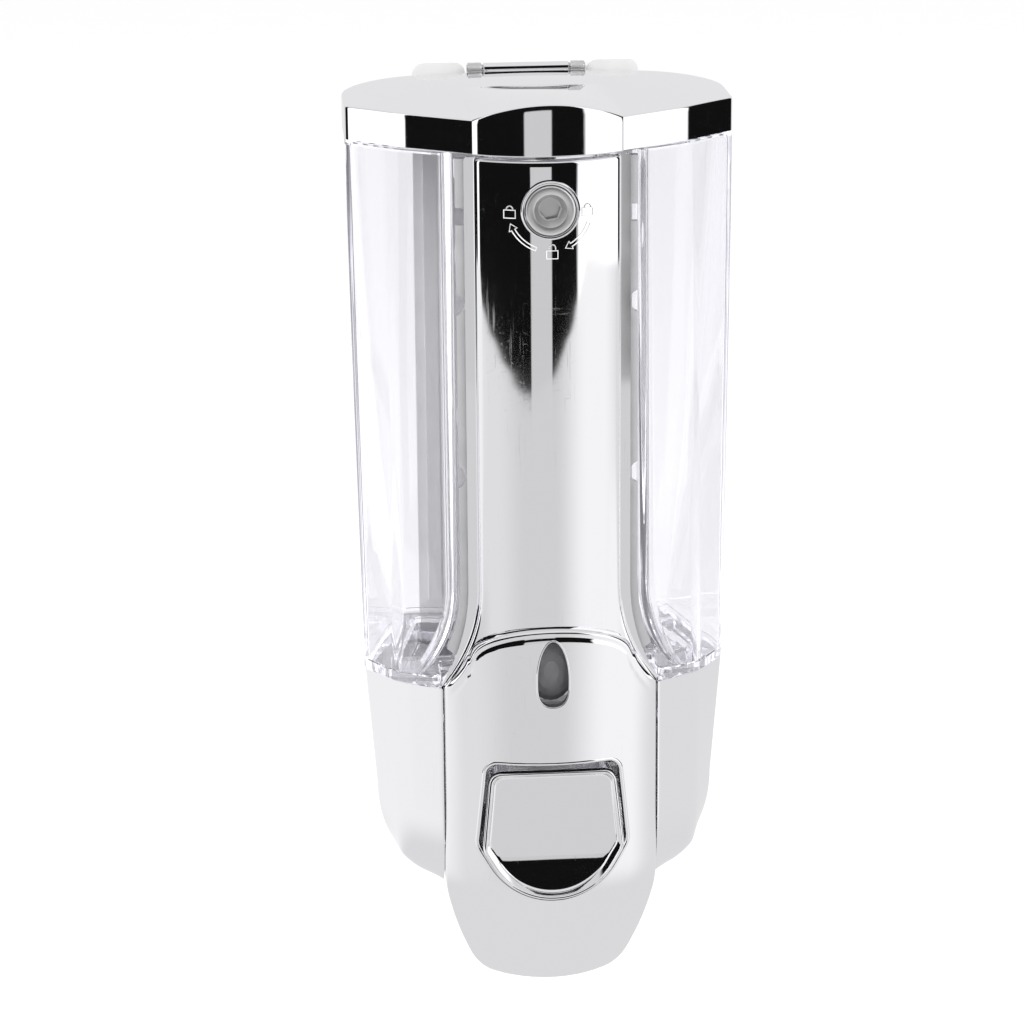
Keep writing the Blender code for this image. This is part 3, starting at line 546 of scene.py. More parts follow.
shares = [0.5 - 0.5 * math.cos(math.pi * k / 40) for k in range(41)]
window_points = [(window_half(s), blend(WINDOW_TOP_Z, WINDOW_BASE_Z, s)) for s in shares]
window_points += [(-x, z) for x, z in reversed(window_points[1:-1])]
cut(
    cover_panel,
    "DIFFERENCE",
    prism("opening_cutter", shield(OPENING_CORNERS), -75.0, -45.0),
    prism("window_cutter", window_points, -75.0, -58.0),
)
LOCK_X, LOCK_Z = 0.0, 48.3
LOCK_HOLE_RADIUS = 6.2
LENS_GAP_HALF, LENS_GAP_TOP_Z, LENS_GAP_BASE_Z = 6.0, -50.0, -69.0
lens_gap = [
    (-LENS_GAP_HALF, LENS_GAP_TOP_Z),
    (LENS_GAP_HALF, LENS_GAP_TOP_Z),
    (LENS_GAP_HALF, LENS_GAP_BASE_Z),
    (-LENS_GAP_HALF, LENS_GAP_BASE_Z),
]
cut(
    cover_column,
    "DIFFERENCE",
    prism("lock_cutter", circle(LOCK_HOLE_RADIUS, 64, LOCK_X, LOCK_Z), -70.0, -50.0),
    prism("lens_cutter", lens_gap, -70.0, -50.0),
)


def lip(name, points, radius, face, depth):
    """A round bead moulded along an edge of the cover."""
    curve = bpy.data.curves.new(name, "CURVE")
    curve.dimensions = "3D"
    curve.bevel_depth = radius * MM
    curve.bevel_resolution = 4
    spline = curve.splines.new("POLY")
    spline.points.add(len(points) - 1)
    spline.use_cyclic_u = True
    for point, (x, z) in zip(spline.points, points):
        point.co = (x * MM, (face(x, z) + depth) * MM, z * MM, 1.0)
    made = bpy.data.objects.new(name, curve)
    bpy.context.scene.collection.objects.link(made)
    bpy.ops.object.select_all(action="DESELECT")
    made.select_set(True)
    bpy.context.view_layer.objects.active = made
    bpy.ops.object.convert(target="MESH")
    bpy.ops.object.shade_smooth()
    return bpy.context.object


opening_lip = lip("opening_lip", shield(OPENING_CORNERS, 0.1), 0.55, panel_face_y, 0.42)
window_lip = lip("window_lip", window_points, 0.3, panel_face_y, 0.2)
# A near-black sheet lines the opening behind its plated edge: painted shade for the dark gap round the button.
shade_sheet_rings = []
SHADE_SHEET_RINGS = ((-0.1, 0.75), (-0.1, 6.5), (0.45, 6.5), (0.45, 0.9), (-0.1, 0.75))
for inset, depth in SHADE_SHEET_RINGS:
    ring = [(x, panel_face_y(x, z) + depth, z) for x, z in shield(OPENING_CORNERS, inset)]
    shade_sheet_rings.append(ring)
opening_shade_sheet = lofted("opening_shade_sheet", shade_sheet_rings)


def node_group(name, inputs, outputs):
    """An empty shader group with named number inputs and named outputs."""
    group = bpy.data.node_groups.new(name, "ShaderNodeTree")
    for title, value in inputs.items():
        socket = group.interface.new_socket(title, in_out="INPUT", socket_type="NodeSocketFloat")
        socket.default_value = value
    for title, kind in outputs.items():
        group.interface.new_socket(title, in_out="OUTPUT", socket_type=kind)
    group.nodes.new("NodeGroupInput")
    group.nodes.new("NodeGroupOutput")
    return group


def add_node(home, kind, links=None, **settings):
    """A node in a tree with its settings, its numbers and its incoming links."""
    node = home.nodes.new(kind)
    for title, value in settings.items():
        setattr(node, title, value)
    for title, value in (links or {}).items():
        if hasattr(value, "links"):
            home.links.new(value, node.inputs[title])
        else:
            node.inputs[title].default_value = value
    return node


def arithmetic(home, kind, first, second):
    """The result of a Math node."""
    return add_node(home, "ShaderNodeMath", {0: first, 1: second}, operation=kind).outputs[0]


def noise(home, place, scale, detail):
    """The value of a Noise texture at a place."""
    links = {"Vector": place, "Scale": scale, "Detail": detail}
    return add_node(home, "ShaderNodeTexNoise", links).outputs["Fac"]


def share_between(home, value, low, high):
    """0 where value is low, 1 where it is high."""
    links = {"Value": value, "From Min": low, "From Max": high}
    return add_node(home, "ShaderNodeMapRange", links).outputs["Result"]


# Handling marks: hair scratches in three directions where the surface is worn, fine dust, and the slow waviness of
# plating on plastic. Each kind of scratch is noise stretched along one axis and turned.
SCRATCH_WAYS = (
    (0.5, (2600.0, 2600.0, 70.0)),
    (-0.7, (60.0, 2600.0, 2400.0)),
    (1.1, (2200.0, 2200.0, 50.0)),
)
SCRATCH_DEPTH = 0.12
handling = node_group(
    "handling_marks",
    {"Gloss": 0.03, "Scratches": 0.1, "Dust": 0.1},
    {"Roughness": "NodeSocketFloat", "Height": "NodeSocketFloat", "Haze": "NodeSocketFloat"},
)
given = handling.nodes["Group Input"].outputs
placing = add_node(handling, "ShaderNodeTexCoord").outputs["Object"]
streaks = []
for turn, stretch in SCRATCH_WAYS:
    mapping = add_node(handling, "ShaderNodeMapping", {"Vector": placing})
    mapping.inputs["Rotation"].default_value = (0.0, turn, 0.2)
    mapping.inputs["Scale"].default_value = stretch
    hair = noise(handling, mapping.outputs["Vector"], 1.0, 2.0)
    streaks.append(share_between(handling, hair, 0.66, 0.72))
streaked = arithmetic(handling, "MAXIMUM", streaks[0], streaks[1])
streaked = arithmetic(handling, "MAXIMUM", streaked, streaks[2])
worn = share_between(handling, noise(handling, placing, 70.0, 4.0), 0.42, 0.66)
scratched = arithmetic(handling, "MULTIPLY", streaked, worn)
scratched = arithmetic(handling, "MULTIPLY", scratched, given["Scratches"])
specks = share_between(handling, noise(handling, placing, 2400.0, 2.0), 0.55, 0.8)
dusty = arithmetic(handling, "MULTIPLY", specks, given["Dust"])
haze = arithmetic(handling, "ADD", scratched, dusty)
rough = arithmetic(handling, "ADD", haze, given["Gloss"])
slow = noise(handling, placing, 90.0, 1.0)
sunk = arithmetic(handling, "MULTIPLY", scratched, -SCRATCH_DEPTH)
height = arithmetic(handling, "ADD", slow, sunk)
handling.links.new(rough, handling.nodes["Group Output"].inputs["Roughness"])
handling.links.new(height, handling.nodes["Group Output"].inputs["Height"])
handling.links.new(haze, handling.nodes["Group Output"].inputs["Haze"])


def finished(name, colour, metallic, gloss, scratches, dust, bump, haze_colour=None):
    """A material with handling marks in its roughness, its relief and its colour."""
    made = bpy.data.materials.new(name)
    made.use_nodes = True
    home = made.node_tree
    shader = home.nodes["Principled BSDF"]
    shader.inputs["Metallic"].default_value = metallic
    marks = home.nodes.new("ShaderNodeGroup")
    marks.node_tree = handling
    marks.inputs["Gloss"].default_value = gloss
    marks.inputs["Scratches"].default_value = scratches
    marks.inputs["Dust"].default_value = dust
    home.links.new(marks.outputs["Roughness"], shader.inputs["Roughness"])
    relief = add_node(home, "ShaderNodeBump", {"Height": marks.outputs["Height"], "Distance": bump})
    home.links.new(relief.outputs["Normal"], shader.inputs["Normal"])
    mix = add_node(home, "ShaderNodeMix", {"Factor": marks.outputs["Haze"]}, data_type="RGBA")
    mix.inputs["A"].default_value = (*colour, 1.0)
    mix.inputs["B"].default_value = (*(haze_colour or colour), 1.0)
    home.links.new(mix.outputs["Result"], shader.inputs["Base Color"])
    return made


def settle(piece, body, slot, material, *nodes):
    """Gives a finished piece its material and its body, and hides the frame's nodes that it stands for. The slot
    is not used.
    """
    piece.data.materials.clear()
    piece.data.materials.append(material)
    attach(piece, body)
    if nodes:
        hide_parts(*nodes)


CHROME = (0.86, 0.86, 0.87)
cover_chrome = finished("cover_chrome", CHROME, 1.0, 0.03, 0.1, 0.02, 0.00001, (0.66, 0.66, 0.67))
settle(cover_panel, "housing", "chrome_front_cover", cover_chrome, "front_cover")
settle(cover_column, "housing", "chrome_front_cover", cover_chrome)
settle(opening_lip, "housing", "chrome_front_cover", cover_chrome)
# Painted shade: a near-black finish for the sheet inside the opening, standing in for the gap's shade.
painted_shade_black = finished("painted_shade_black", (0.012, 0.012, 0.013), 0.0, 0.4, 0.1, 0.1, 0.00001)
settle(opening_shade_sheet, "housing", "chrome_front_cover", painted_shade_black)
settle(window_lip, "housing", "chrome_front_cover", cover_chrome)


# Lid: a chrome plated ABS cap. Its centre lobe carries the column up and swells into a low dome, between two
# flat side lobes, and a barrel at the back turns on the tank's hinge pin. Two hooks hang down for the lock.
LID_EDGE_Z = 60.0
LID_TOP_Z = 67.8
LOBE_HALF = COLUMN_HALF + 0.4
LOBE_BACK_Y = -24.0
LOBE_RISE = 3.9
LOBE_BOW = 4.9
LOBE_BOW_EDGE = 0.8
LID_HALF = 44.0
LID_CROWN = 1.5
LID_ROUND = 0.45
LID_MIDDLE_Y = -30.0
lid_half = [
    (LOBE_HALF, COLUMN_EDGE_Y + 0.5, 0.5),
    (32.0, -48.9, 26.0),
    (LID_HALF, -38.0, 3.0),
    (LID_HALF, -5.4, 17.5),
]


def dome(x, y):
    """The centre lobe's height above the flat top."""
    across = min(1.0, abs(x) / LOBE_HALF)
    front_y = COLUMN_Y + LOBE_BOW * across * across
    ahead = min(1.0, max(0.0, (y - LOBE_BACK_Y) / (front_y - LOBE_BACK_Y)))
    return LOBE_RISE * (1.0 - across * across) ** 0.95 * math.sin(0.5 * math.pi * ahead)


def lid_row(inset, z, scale=1.0, lift=0.0):
    """A ring round the lid, drawn in towards its middle by scale, raised by a share of the dome's height."""
    ring = []
    for x, y in outline(offset(mirrored(lid_half), inset), 12, 24):
        if y < COLUMN_EDGE_Y + 0.6 + inset and abs(x) < LOBE_HALF - inset:
            reach = abs(x) / (LOBE_HALF - inset)
            y -= LOBE_BOW - 4.1 * reach**2 - LOBE_BOW_EDGE * reach**8
        x, y = x * scale, LID_MIDDLE_Y + (y - LID_MIDDLE_Y) * scale
        crown = LID_CROWN * (1.0 - (x / LID_HALF) ** 2) * smooth((y + 62.0) / 50.0)
        ring.append((x, y, z + lift * (dome(x, y) + crown)))
    return ring


# From the middle of its underside out to the wall, down inside it, round its edge, up and over to the middle.
wall_base = LID_EDGE_Z + 0.3
wall_top = LID_TOP_Z - LID_ROUND
lid_rings = [lid_row(3.2, 66.0, k / 6) for k in range(7)]
lid_rings += [lid_row(2.2, 65.0), lid_row(2.0, LID_EDGE_Z + 0.2), lid_row(1.8, LID_EDGE_Z)]
lid_rings += [lid_row(0.25, LID_EDGE_Z), lid_row(0.0, wall_base)]
for k in range(1, 9):
    lid_rings.append(lid_row(0.0, blend(wall_base, wall_top, k / 8), lift=k / 8))
for k in range(1, 8):
    turn = 0.5 * math.pi * k / 7
    inset = LID_ROUND * (1.0 - math.cos(turn))
    lid_rings.append(lid_row(inset, wall_top + LID_ROUND * math.sin(turn), lift=1.0))
for k in range(1, 41):
    lid_rings.append(lid_row(LID_ROUND, LID_TOP_Z, 1.0 - k / 40, lift=1.0))
lid_shell = lofted("lid_shell", lid_rings)
HINGE_Y, HINGE_Z = -3.5, 69.7
BARREL_RADIUS = 1.25
barrel_ends = [(-10.0, 0.86), (-9.85, 1.0), (9.85, 1.0), (10.0, 0.86)]


def barrel_row(x, size):
    """A ring about the hinge's axis at x, size times as wide as the barrel."""
    ring = circle(BARREL_RADIUS, 48)
    return [(x, HINGE_Y + y * size, HINGE_Z + z * size) for y, z in ring]


barrel = lofted("lid_barrel", [barrel_row(x, size) for x, size in barrel_ends])


def bar(name, low, high, radius):
    """A block with rounded edges, between its low and high corners."""
    bpy.ops.object.select_all(action="DESELECT")
    middle = [0.5 * (a + b) * MM for a, b in zip(low, high)]
    bpy.ops.mesh.primitive_cube_add(size=1.0, location=middle)
    made = bpy.context.object
    made.name = name
    made.scale = [(b - a) * MM for a, b in zip(low, high)]
    bpy.ops.object.transform_apply(location=True, rotation=True, scale=True)
    bpy.ops.object.mode_set(mode="EDIT")
    bpy.ops.mesh.select_all(action="SELECT")
    bpy.ops.mesh.bevel(offset=radius * MM, segments=3, affect="EDGES")
    bpy.ops.object.mode_set(mode="OBJECT")
    bpy.ops.object.shade_smooth_by_angle(angle=math.radians(40.0))
    return made


HOOK_FRONT_Y, HOOK_BACK_Y = -51.8, -49.4
HOOK_BASE_Z, HOOK_FOOT_Z, HOOK_TOP_Z = 43.4, 45.6, 66.5
web = bar("lid_web", (-9.4, -8.2, 64.4), (9.4, -4.0, 69.0), 0.4)
hooks = []
for side in (-1, 1):
    for name, inner, outer, top_z in (
        ("lid_hook", 11.0, 12.4, HOOK_TOP_Z),
        ("lid_hook_foot", 7.6, 12.0, HOOK_FOOT_Z),
    ):
        low_x, high_x = sorted((side * inner, side * outer))
        low = (low_x, HOOK_FRONT_Y, HOOK_BASE_Z)
        hooks.append(bar(name, low, (high_x, HOOK_BACK_Y, top_z), 0.3))


def joined(piece, *others):
    """Joins other pieces into one."""
    bpy.ops.object.select_all(action="DESELECT")
    for other in others:
        other.select_set(True)
    piece.select_set(True)
    bpy.context.view_layer.objects.active = piece
    bpy.ops.object.join()
    return piece


joined(lid_shell, barrel, web, *hooks)
lid_chrome = finished("lid_chrome", CHROME, 1.0, 0.035, 0.06, 0.03, 0.000008, (0.78, 0.78, 0.8))
settle(lid_shell, "lid", "chrome_lid", lid_chrome, "lid")


# Lower housing: a chrome plated bowl that closes the dispenser below the tank on both sides of the panel. It is
# open in front behind the cover, and its floor has a round hole for the nozzle.
SHELL_TOP_Z = -64.3
SHELL_BEND_Z = -93.0
SHELL_BASE_Z = -114.2
SEAM_Y = -58.3
TANK_BACK_Y = -5.0
SHELL_DRAFT = 2.4
SHELL_ROUND = 13.0
SHELL_ROUND_POWER = 2.1
SHELL_HALF = 42.2
SHELL_WALL = 2.0
PUMP_Y = -29.2
DRIP_RADIUS = 8.6
BUTTON_AXIS_Z = -95.0
BOSS_X, BOSS_RADIUS = 19.2, 3.0


def shell_row(z, inset=0.0, scale=1.0):
    """The housing's plan at height z. It rounds in below the bend, like the bottom of a bowl."""
    drop = max(0.0, (SHELL_BEND_Z - z) / (SHELL_BEND_Z - SHELL_BASE_Z))
    draft = SHELL_DRAFT * min(1.0, (SHELL_TOP_Z - z) / (SHELL_TOP_Z - SHELL_BEND_Z))
    rounding = 1.0 - math.sqrt(max(0.0, 1.0 - min(drop, 1.0) ** SHELL_ROUND_POWER))
    draw = draft + SHELL_ROUND * rounding
    corner_x = SHELL_HALF - draw
    half = [
        (min(25.0, corner_x - 3.0), SEAM_Y + 0.55 * (draw - draft), 1.5),
        (min(34.4, corner_x - 1.5), -52.6 + 0.6 * (draw - draft), 9.0),
        (corner_x, -41.4 + 0.3 * draw, 3.4),
        (32.4 - 0.7 * draw, TANK_BACK_Y - 0.1 * (draw - draft), 5.0),
    ]
    ring = []
    for x, y in outline(offset(mirrored(half), inset), 8, 8):
        ring.append((x * scale, LID_MIDDLE_Y + (y - LID_MIDDLE_Y) * scale, z))
    return ring


shell_levels = [blend(SHELL_TOP_Z, SHELL_BEND_Z, k / 6) for k in range(7)]
for k in range(1, 25):
    shell_levels.append(blend(SHELL_BEND_Z, SHELL_BASE_Z, math.sin(0.5 * math.pi * k / 24)))
floor_z = SHELL_BASE_Z + SHELL_WALL
shell_rings = [shell_row(floor_z, SHELL_WALL, 0.0)]
shell_rings += [shell_row(z, SHELL_WALL) for z in reversed(shell_levels) if z > floor_z]
shell_rings += [shell_row(z) for z in shell_levels]
shell_rings.append(shell_row(SHELL_BASE_Z, 0.0, 0.0))
base_bowl = lofted("base_bowl", shell_rings)
front_gap = bar("front_gap", (-24.9, -80.0, -130.0), (24.9, -46.5, -50.0), 0.5)
drip_circle = circle(DRIP_RADIUS, 64, 0.0, PUMP_Y)
drip_hole = lofted("drip_hole", [[(x, y, z) for x, y in drip_circle] for z in (-125.0, -100.0)])
cut(base_bowl, "DIFFERENCE", front_gap, drip_hole)
bosses = []
for side in (-1, 1):
    boss_circle = circle(BOSS_RADIUS, 32, side * BOSS_X, BUTTON_AXIS_Z)
    bosses.append(prism("screw_boss", boss_circle, -39.0, -6.0))
joined(base_bowl, *bosses)
settle(base_bowl, "housing", "chrome_base_shell", cover_chrome, "base_shell")


# Tank: clear polished styrene, open on top, with a groove for the column in its front. Its foot has a flange, a
# ledge and a sunken floor with a spigot, and two knuckles at the back hold the lid's pin.
TANK_TOP_Z = 59.5
FLANGE_Z = -62.0
SUMP_Z = -70.5
GROOVE_Y = -46.0
GROOVE_HALF = 20.9
TANK_WALL = 1.8
TANK_RIM_ROUND = 0.3
SPIGOT_RADIUS = 5.0
SPIGOT_BORE = 0.68


def tank_row(z, inset=0.0, groove=None):
    """The tank's plan at height z, with the groove for the column in its front."""
    down = max(0.0, (TANK_TOP_Z - z) / (TANK_TOP_Z - SHOULDER_Z))
    groove = groove or blend(GROOVE_HALF, 30.0, flare(z))
    front_y = blend(-54.9 + 0.55 * (groove - GROOVE_HALF), SEAM_Y + 0.6 * (groove - 25.0), down)
    half = [
        (groove, GROOVE_Y, 1.0),
        (groove, front_y, 2.3),
        (blend(33.0, 35.4, down), blend(-47.9, -52.2, down), blend(20.0, 6.0, down)),
        (blend(44.0, 42.2, down**1.5), blend(-38.2, -41.4, down), 3.4),
        (blend(43.4, 32.4, down), TANK_BACK_Y, blend(16.5, 5.0, down)),
    ]
    return [(x, y, z) for x, y in outline(offset(mirrored(half), inset), 6, 4)]


def sump_row(z, inset):
    """The sunken floor's plan at height z."""
    half = [(20.0, GROOVE_Y + 4.0, 2.0), (36.0, -42.5, 3.0), (29.2, -9.6, 3.0)]
    return [(x, y, z) for x, y in outline(offset(mirrored(half), inset), 6, 2)]


tank_levels = [TANK_TOP_Z, TANK_TOP_Z - 0.4, 40.0, 20.0, 0.0, -20.0]
tank_levels += [blend(FLARE_TOP_Z, FLANGE_Z, k / 16) for k in range(17)]
tank_rings = [tank_row(TANK_TOP_Z, TANK_RIM_ROUND)] + [tank_row(z) for z in tank_levels[1:]]
tank_walls = lofted("tank_walls", tank_rings)
flange_rows = ((-61.6, 0.0), (-61.8, -0.25), (-63.8, -0.25), (-64.0, 0.0))
flange = lofted("flange", [tank_row(z, inset, 25.2) for z, inset in flange_rows])
sump = lofted("sump", [sump_row(-63.0, 0.0), sump_row(SUMP_Z + 0.5, 0.5), sump_row(SUMP_Z, 1.0)])


def spigot_row(z, size=1.0):
    """A ring about the pump's axis at height z, size times as wide as the spigot."""
    ring = circle(SPIGOT_RADIUS, 48, 0.0, PUMP_Y)
    return [(size * x, PUMP_Y + size * (y - PUMP_Y), z) for x, y in ring]


spigot = lofted("spigot", [spigot_row(SUMP_Z + 1.0), spigot_row(-78.0)])
inside_levels = [TANK_TOP_Z + 2.0] + tank_levels[2:]
inside = lofted("inside", [tank_row(max(z, FLANGE_Z), TANK_WALL) for z in inside_levels])
basin_z = SUMP_Z + TANK_WALL
basin_rows = [sump_row(-61.0, TANK_WALL - 0.3), sump_row(basin_z + 0.4, 2.0), sump_row(basin_z, 2.6)]
basin = lofted("basin", basin_rows)
bore = lofted("bore", [spigot_row(-82.0, SPIGOT_BORE), spigot_row(-64.0, SPIGOT_BORE)])
cut(tank_walls, "UNION", flange, sump, spigot)
cut(tank_walls, "DIFFERENCE", inside, basin, bore)
KNUCKLE_X, KNUCKLE_HALF = 12.1, 1.6
EYE_ENDS = ((-KNUCKLE_HALF, 1.0), (-1.4, 1.12), (1.4, 1.12), (KNUCKLE_HALF, 1.0))
knuckles = []
for side in (-1, 1):
    low_x = KNUCKLE_X * side - KNUCKLE_HALF
    high_x = low_x + 2.0 * KNUCKLE_HALF
    knuckles.append(bar("knuckle_foot", (low_x, -5.6, 52.0), (high_x, -2.5, 59.2), 0.3))
    knuckles.append(bar("knuckle_arm", (low_x, -5.1, 58.0), (high_x, -2.5, 69.2), 0.3))
    eye = [barrel_row(x + low_x + KNUCKLE_HALF, size) for x, size in EYE_ENDS]
    knuckles.append(lofted("knuckle_eye", eye))
joined(tank_walls, *knuckles)

tank_clear = bpy.data.materials.new("tank_clear")
tank_clear.use_nodes = True
home = tank_clear.node_tree
shader = home.nodes["Principled BSDF"]
shader.inputs["Base Color"].default_value = (0.9, 0.9, 0.915, 1.0)
shader.inputs["IOR"].default_value = 1.49
shader.inputs["Transmission Weight"].default_value = 1.0
marks = home.nodes.new("ShaderNodeGroup")
marks.node_tree = handling
marks.inputs["Gloss"].default_value = 0.0
marks.inputs["Scratches"].default_value = 0.05
marks.inputs["Dust"].default_value = 0.03
home.links.new(marks.outputs["Roughness"], shader.inputs["Roughness"])
# Emission on the wall's glancing edges paints them pale: a painted highlight, since the tank gives no light of its
# own.
glancing = add_node(home, "ShaderNodeLayerWeight", {"Blend": 0.5}).outputs["Facing"]
painted_highlight_range = {"Value": glancing, "From Min": 0.6, "To Min": 0.015, "To Max": 0.22}
painted_edge_highlight = add_node(home, "ShaderNodeMapRange", painted_highlight_range)
shader.inputs["Emission Color"].default_value = (0.92, 0.91, 1.0, 1.0)
home.links.new(painted_edge_highlight.outputs["Result"], shader.inputs["Emission Strength"])
# Lamps shine through it, so that what stands behind the tank is lit.
shadow = add_node(home, "ShaderNodeLightPath").outputs["Is Shadow Ray"]
let_through = add_node(home, "ShaderNodeMapRange", {"Value": shadow, "To Min": 1.0, "To Max": 0.12})
home.links.new(let_through.outputs["Result"], shader.inputs["Alpha"])
settle(tank_walls, "housing", "clear_tank", tank_clear, "tank")


# Push button: a chrome plated cap that leans out towards its foot. Its face is scooped for a fingertip, with a
# round rim, and its skirt runs back through the opening.
BUTTON_CORNERS = [(14.7, -83.6, 3.2), (16.6, -102.3, 4.4), (9.35, -114.45, 16.1)]
BUTTON_TOP_Z, BUTTON_HEIGHT = -84.0, 30.3
BUTTON_HALF = 15.4
BUTTON_MIDDLE_Z = -99.5
SCOOP_MIDDLE_Z = -97.0
SCOOP_Y = -62.3
CURL_Z = -104.6
CAVITY_Y, CAVITY_MIDDLE_Z = -59.0, -98.0


def rim_y(z):
    """The rim leans out towards the foot."""
    return blend(-63.0, -66.6, (BUTTON_TOP_Z - z) / BUTTON_HEIGHT)


def face_y(z):
    """The scooped face: upright, then curling out towards its foot."""
    curl = max(0.0, CURL_Z - z)
    return SCOOP_Y - 0.07 * curl - 0.026 * curl * curl


def drawn_in(inset):
    """The button's shape, made smaller so that its corners stay round."""
    small = 1.0 - inset / BUTTON_HALF
    shape = shield(BUTTON_CORNERS, 0.7)
    return [(x * small, z * small + BUTTON_MIDDLE_Z * (1.0 - small)) for x, z in shape]


# From the middle of its hollow back, out and along the skirt, round the rim, and down the scoop to its middle.
# The skirt's rows say how far in and how far behind the rim they are, and the scoop's how far down they reach.
SKIRT_ROWS = (
    (0.35, 4.0),
    (0.1, 1.5),
    (0.04, 0.8),
    (0.15, 0.4),
    (0.35, 0.12),
    (0.55, 0.0),
    (0.7, 0.0),
)
SCOOP_ROWS = (
    (0.15, 0.04),
    (0.3, 0.16),
    (0.45, 0.4),
    (0.6, 0.68),
    (0.78, 0.88),
    (1.0, 0.97),
    (1.3, 1.0),
)
back_ring = []
for x, z in shield(BUTTON_CORNERS, 1.4):
    back_ring.append((0.95 * x, -58.6, CAVITY_MIDDLE_Z + 0.95 * (z - CAVITY_MIDDLE_Z)))
button_rings = [[(0.0, CAVITY_Y, CAVITY_MIDDLE_Z) for _ in back_ring], back_ring]
button_rings.append([(x, -56.2, z) for x, z in shield(BUTTON_CORNERS, 0.9)])
button_rings.append([(x, -56.3, z) for x, z in shield(BUTTON_CORNERS, 0.6)])
for inset, depth in SKIRT_ROWS:
    button_rings.append([(x, rim_y(z) + depth, z) for x, z in shield(BUTTON_CORNERS, inset)])
for inset, share in SCOOP_ROWS:
    button_rings.append([(x, blend(rim_y(z), face_y(z), share), z) for x, z in drawn_in(inset)])
for k in range(1, 33):
    ring = []
    for x, z in drawn_in(SCOOP_ROWS[-1][0]):
        z = blend(z, SCOOP_MIDDLE_Z, k / 32)
        ring.append((x * (1.0 - k / 32), face_y(z), z))
    button_rings.append(ring)
button_cap = lofted("button_cap", button_rings)
button_chrome = finished("button_chrome", CHROME, 1.0, 0.03, 0.12, 0.03, 0.00002, (0.78, 0.78, 0.79))
settle(button_cap, "button", "chrome_button", button_chrome, "button")


# Key lock: a chrome plated, turned bezel pressed into the column, and in it a satin grey die cast cylinder with a
# countersunk hexagon socket, which turns.
def turned(name, profile, segments=96):
    """A shape turned about the lock's axis through (radius, y) points."""
    rings = []
    for radius, y in profile:
        rings.append([(x, y, z) for x, z in circle(radius, segments, LOCK_X, LOCK_Z)])
    return lofted(name, rings)


bezel_profile = [(5.75, -58.2), (6.0, -58.2), (6.0, -63.3), (6.6, -63.35)]
bezel_profile += [(6.6, -64.1), (6.5, -64.4), (6.3, -64.58), (6.1, -64.6), (5.9, -64.55)]
bezel_profile += [(5.77, -64.4), (5.75, -64.1), (5.75, -58.2)]
bezel = turned("bezel_ring", bezel_profile)
bezel_chrome = finished("bezel_chrome", CHROME, 1.0, 0.06, 0.1, 0.05, 0.00001)
settle(bezel, "housing", "chrome_lock_bezel", bezel_chrome, "lock_bezel")

plug_profile = [(0.0, -50.0), (2.0, -50.0), (2.0, -54.0), (5.6, -54.0), (5.6, -64.35)]
plug_profile += [(5.5, -64.6), (5.3, -64.75), (5.0, -64.8), (3.9, -64.8), (3.7, -64.74)]
plug_profile += [(3.5, -64.5), (2.6, -63.1), (2.5, -63.0), (0.0, -63.0)]
plug = turned("lock_plug", plug_profile)
SOCKET_RADIUS, SOCKET_TURN = 2.37, 0.2
hexagon = circle(SOCKET_RADIUS, 6, LOCK_X, LOCK_Z, SOCKET_TURN)
cut(plug, "DIFFERENCE", prism("key_socket", hexagon, -70.0, -61.9))
plug_grey = finished("plug_grey", (0.72, 0.72, 0.72), 0.9, 0.3, 0.15, 0.05, 0.00001, (0.45, 0.45, 0.45))
settle(plug, "lock", "grey_lock_cylinder", plug_grey, "lock_cylinder")


# Lock marks: small raised padlocks and curved arrows in satin white on the column round the lock, two closed
# padlocks at the sides and an open one below.
MARK_RADIUS = 0.13
ARROW_INNER, ARROW_OUTER = 8.9, 9.7
ARROW_HEAD = 9.0


def column_face_y(x, z):
    """The column's front face at (x, z)."""
    return COLUMN_Y + (COLUMN_EDGE_Y - COLUMN_Y) * (x / (COLUMN_HALF - EDGE_INSET)) ** 2


def padlock(x, z, lift):
    """The outlines of a padlock's body and its shackle, which stands open when it is lifted."""
    body = [(-1.25, -1.3), (1.25, -1.3), (1.25, 0.5), (-1.25, 0.5)]
    angles = [math.pi * k / 8 for k in range(9)]
    shackle = [(0.75 * math.cos(a), 0.5 + lift + 0.9 * math.sin(a)) for a in angles]
    foot = [(-0.75, 0.5)] if lift == 0.0 else [(-0.75, 0.9)]
    loop = [(0.75, 0.5)] + shackle + foot + list(reversed(shackle))
    return [[(x + u, z + v) for u, v in body], [(x + u, z + v) for u, v in loop]]


def arrow(start, end):
    """The outline of an arrow that curves round the lock from one angle to another, in degrees."""
    way = 1.0 if end > start else -1.0
    reach = [math.radians(blend(start, end - way * ARROW_HEAD, k / 10)) for k in range(11)]
    outer = [(ARROW_OUTER, a) for a in reach]
    inner = [(ARROW_INNER, a) for a in reversed(reach)]
    neck = reach[-1]
    head = [(10.3, neck), (9.3, math.radians(end)), (8.3, neck)]
    return [(LOCK_X + r * math.cos(a), LOCK_Z + r * math.sin(a)) for r, a in outer + head + inner]


strokes = padlock(-8.9, 47.7, 0.0) + padlock(8.4, 47.9, 0.0) + padlock(0.4, 38.6, 0.5)
strokes += [arrow(250.0, 200.0), arrow(340.0, 291.0)]
lines = [lip("lock_mark", stroke, MARK_RADIUS, column_face_y, -0.02) for stroke in strokes]
lock_marks = joined(lines[0], *lines[1:])
lock_marks.name = "lock_marks"
mark_white = finished("mark_white", (0.85, 0.85, 0.85), 0.0, 0.4, 0.1, 0.2, 0.00001)
settle(lock_marks, "housing", "chrome_front_cover", mark_white)
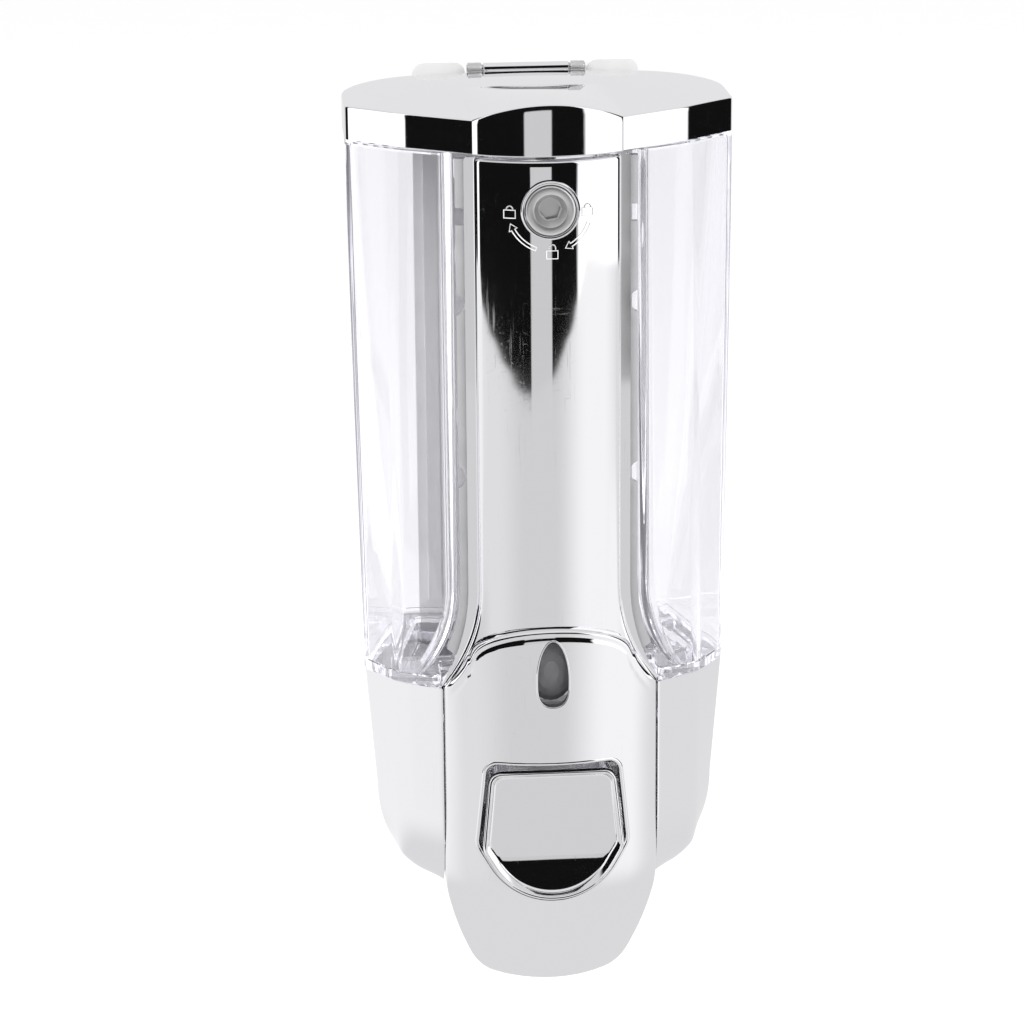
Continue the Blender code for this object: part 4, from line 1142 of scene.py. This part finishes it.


# The nodes that keep their own shape get their finishes: moulded greys and whites, silicone, drawn and plated
# steel, and the bead behind the window, tinted dark grey as painted shade for the dark inside behind it.
grain = node_group(
    "moulded_grain",
    {"Rough": 0.45, "Change": 0.1},
    {"Roughness": "NodeSocketFloat", "Height": "NodeSocketFloat", "Shade": "NodeSocketFloat"},
)
given = grain.nodes["Group Input"].outputs
placing = add_node(grain, "ShaderNodeTexCoord").outputs["Object"]
fine = noise(grain, placing, 5200.0, 3.0)
broad = noise(grain, placing, 160.0, 4.0)
change = arithmetic(grain, "MULTIPLY", broad, given["Change"])
uneven = arithmetic(grain, "ADD", change, given["Rough"])
grain.links.new(uneven, grain.nodes["Group Output"].inputs["Roughness"])
grain.links.new(fine, grain.nodes["Group Output"].inputs["Height"])
grain.links.new(change, grain.nodes["Group Output"].inputs["Shade"])


SHADE_CHANGE = 0.12


def moulded(name, light, dark, rough, bump=0.00002, metallic=0.0, transmission=0.0):
    """A plastic, rubber or plain metal with a fine grain and a slow change of shade."""
    made = bpy.data.materials.new(name)
    made.use_nodes = True
    home = made.node_tree
    shader = home.nodes["Principled BSDF"]
    shader.inputs["Metallic"].default_value = metallic
    shader.inputs["Transmission Weight"].default_value = transmission
    texture = home.nodes.new("ShaderNodeGroup")
    texture.node_tree = grain
    texture.inputs["Rough"].default_value = rough
    texture.inputs["Change"].default_value = SHADE_CHANGE
    home.links.new(texture.outputs["Roughness"], shader.inputs["Roughness"])
    relief = add_node(home, "ShaderNodeBump", {"Height": texture.outputs["Height"], "Distance": bump})
    home.links.new(relief.outputs["Normal"], shader.inputs["Normal"])
    darker = share_between(home, texture.outputs["Shade"], SHADE_CHANGE / 3.0, 2.0 * SHADE_CHANGE / 3.0)
    mix = add_node(home, "ShaderNodeMix", {"Factor": darker}, data_type="RGBA")
    mix.inputs["A"].default_value = (*light, 1.0)
    mix.inputs["B"].default_value = (*dark, 1.0)
    home.links.new(mix.outputs["Result"], shader.inputs["Base Color"])
    return made


finishes = {
    moulded("plate_white", (0.84, 0.84, 0.83), (0.8, 0.8, 0.79), 0.45): ["wall_plate"],
    moulded("spine_grey", (0.44, 0.44, 0.45), (0.4, 0.4, 0.41), 0.4): ["spine"],
    moulded("pump_white", (0.82, 0.82, 0.81), (0.78, 0.78, 0.77), 0.35): [
        "pump_body",
        "pump_cap",
        "pump_piston",
        "nozzle",
    ],
    moulded("silicone_clear", (0.78, 0.78, 0.78), (0.72, 0.72, 0.72), 0.4, transmission=0.3): [
        "lid_seal",
        "tank_seal",
        "piston_ring",
        "inlet_valve",
        "outlet_valve",
    ],
    moulded("screw_steel", (0.6, 0.6, 0.59), (0.52, 0.52, 0.5), 0.22, 0.00001, metallic=1.0): [
        "hinge_pin",
        "lock_nut",
        "lock_cam",
        "lock_screw",
        "pump_spring",
        *[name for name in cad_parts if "_screw_" in name],
    ],
    # Painted shade: the clear lens is tinted dark grey to stand for the shade inside the window.
    moulded("lens_dark_painted_shade", (0.3, 0.3, 0.31), (0.2, 0.2, 0.21), 0.02, 0.000005, transmission=0.35): ["sight_lens"],
}
for finish, names in finishes.items():
    for name in names:
        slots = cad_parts[name].data.materials
        if len(slots) == 0:
            slots.append(finish)
        for k in range(len(slots)):
            slots[k] = finish
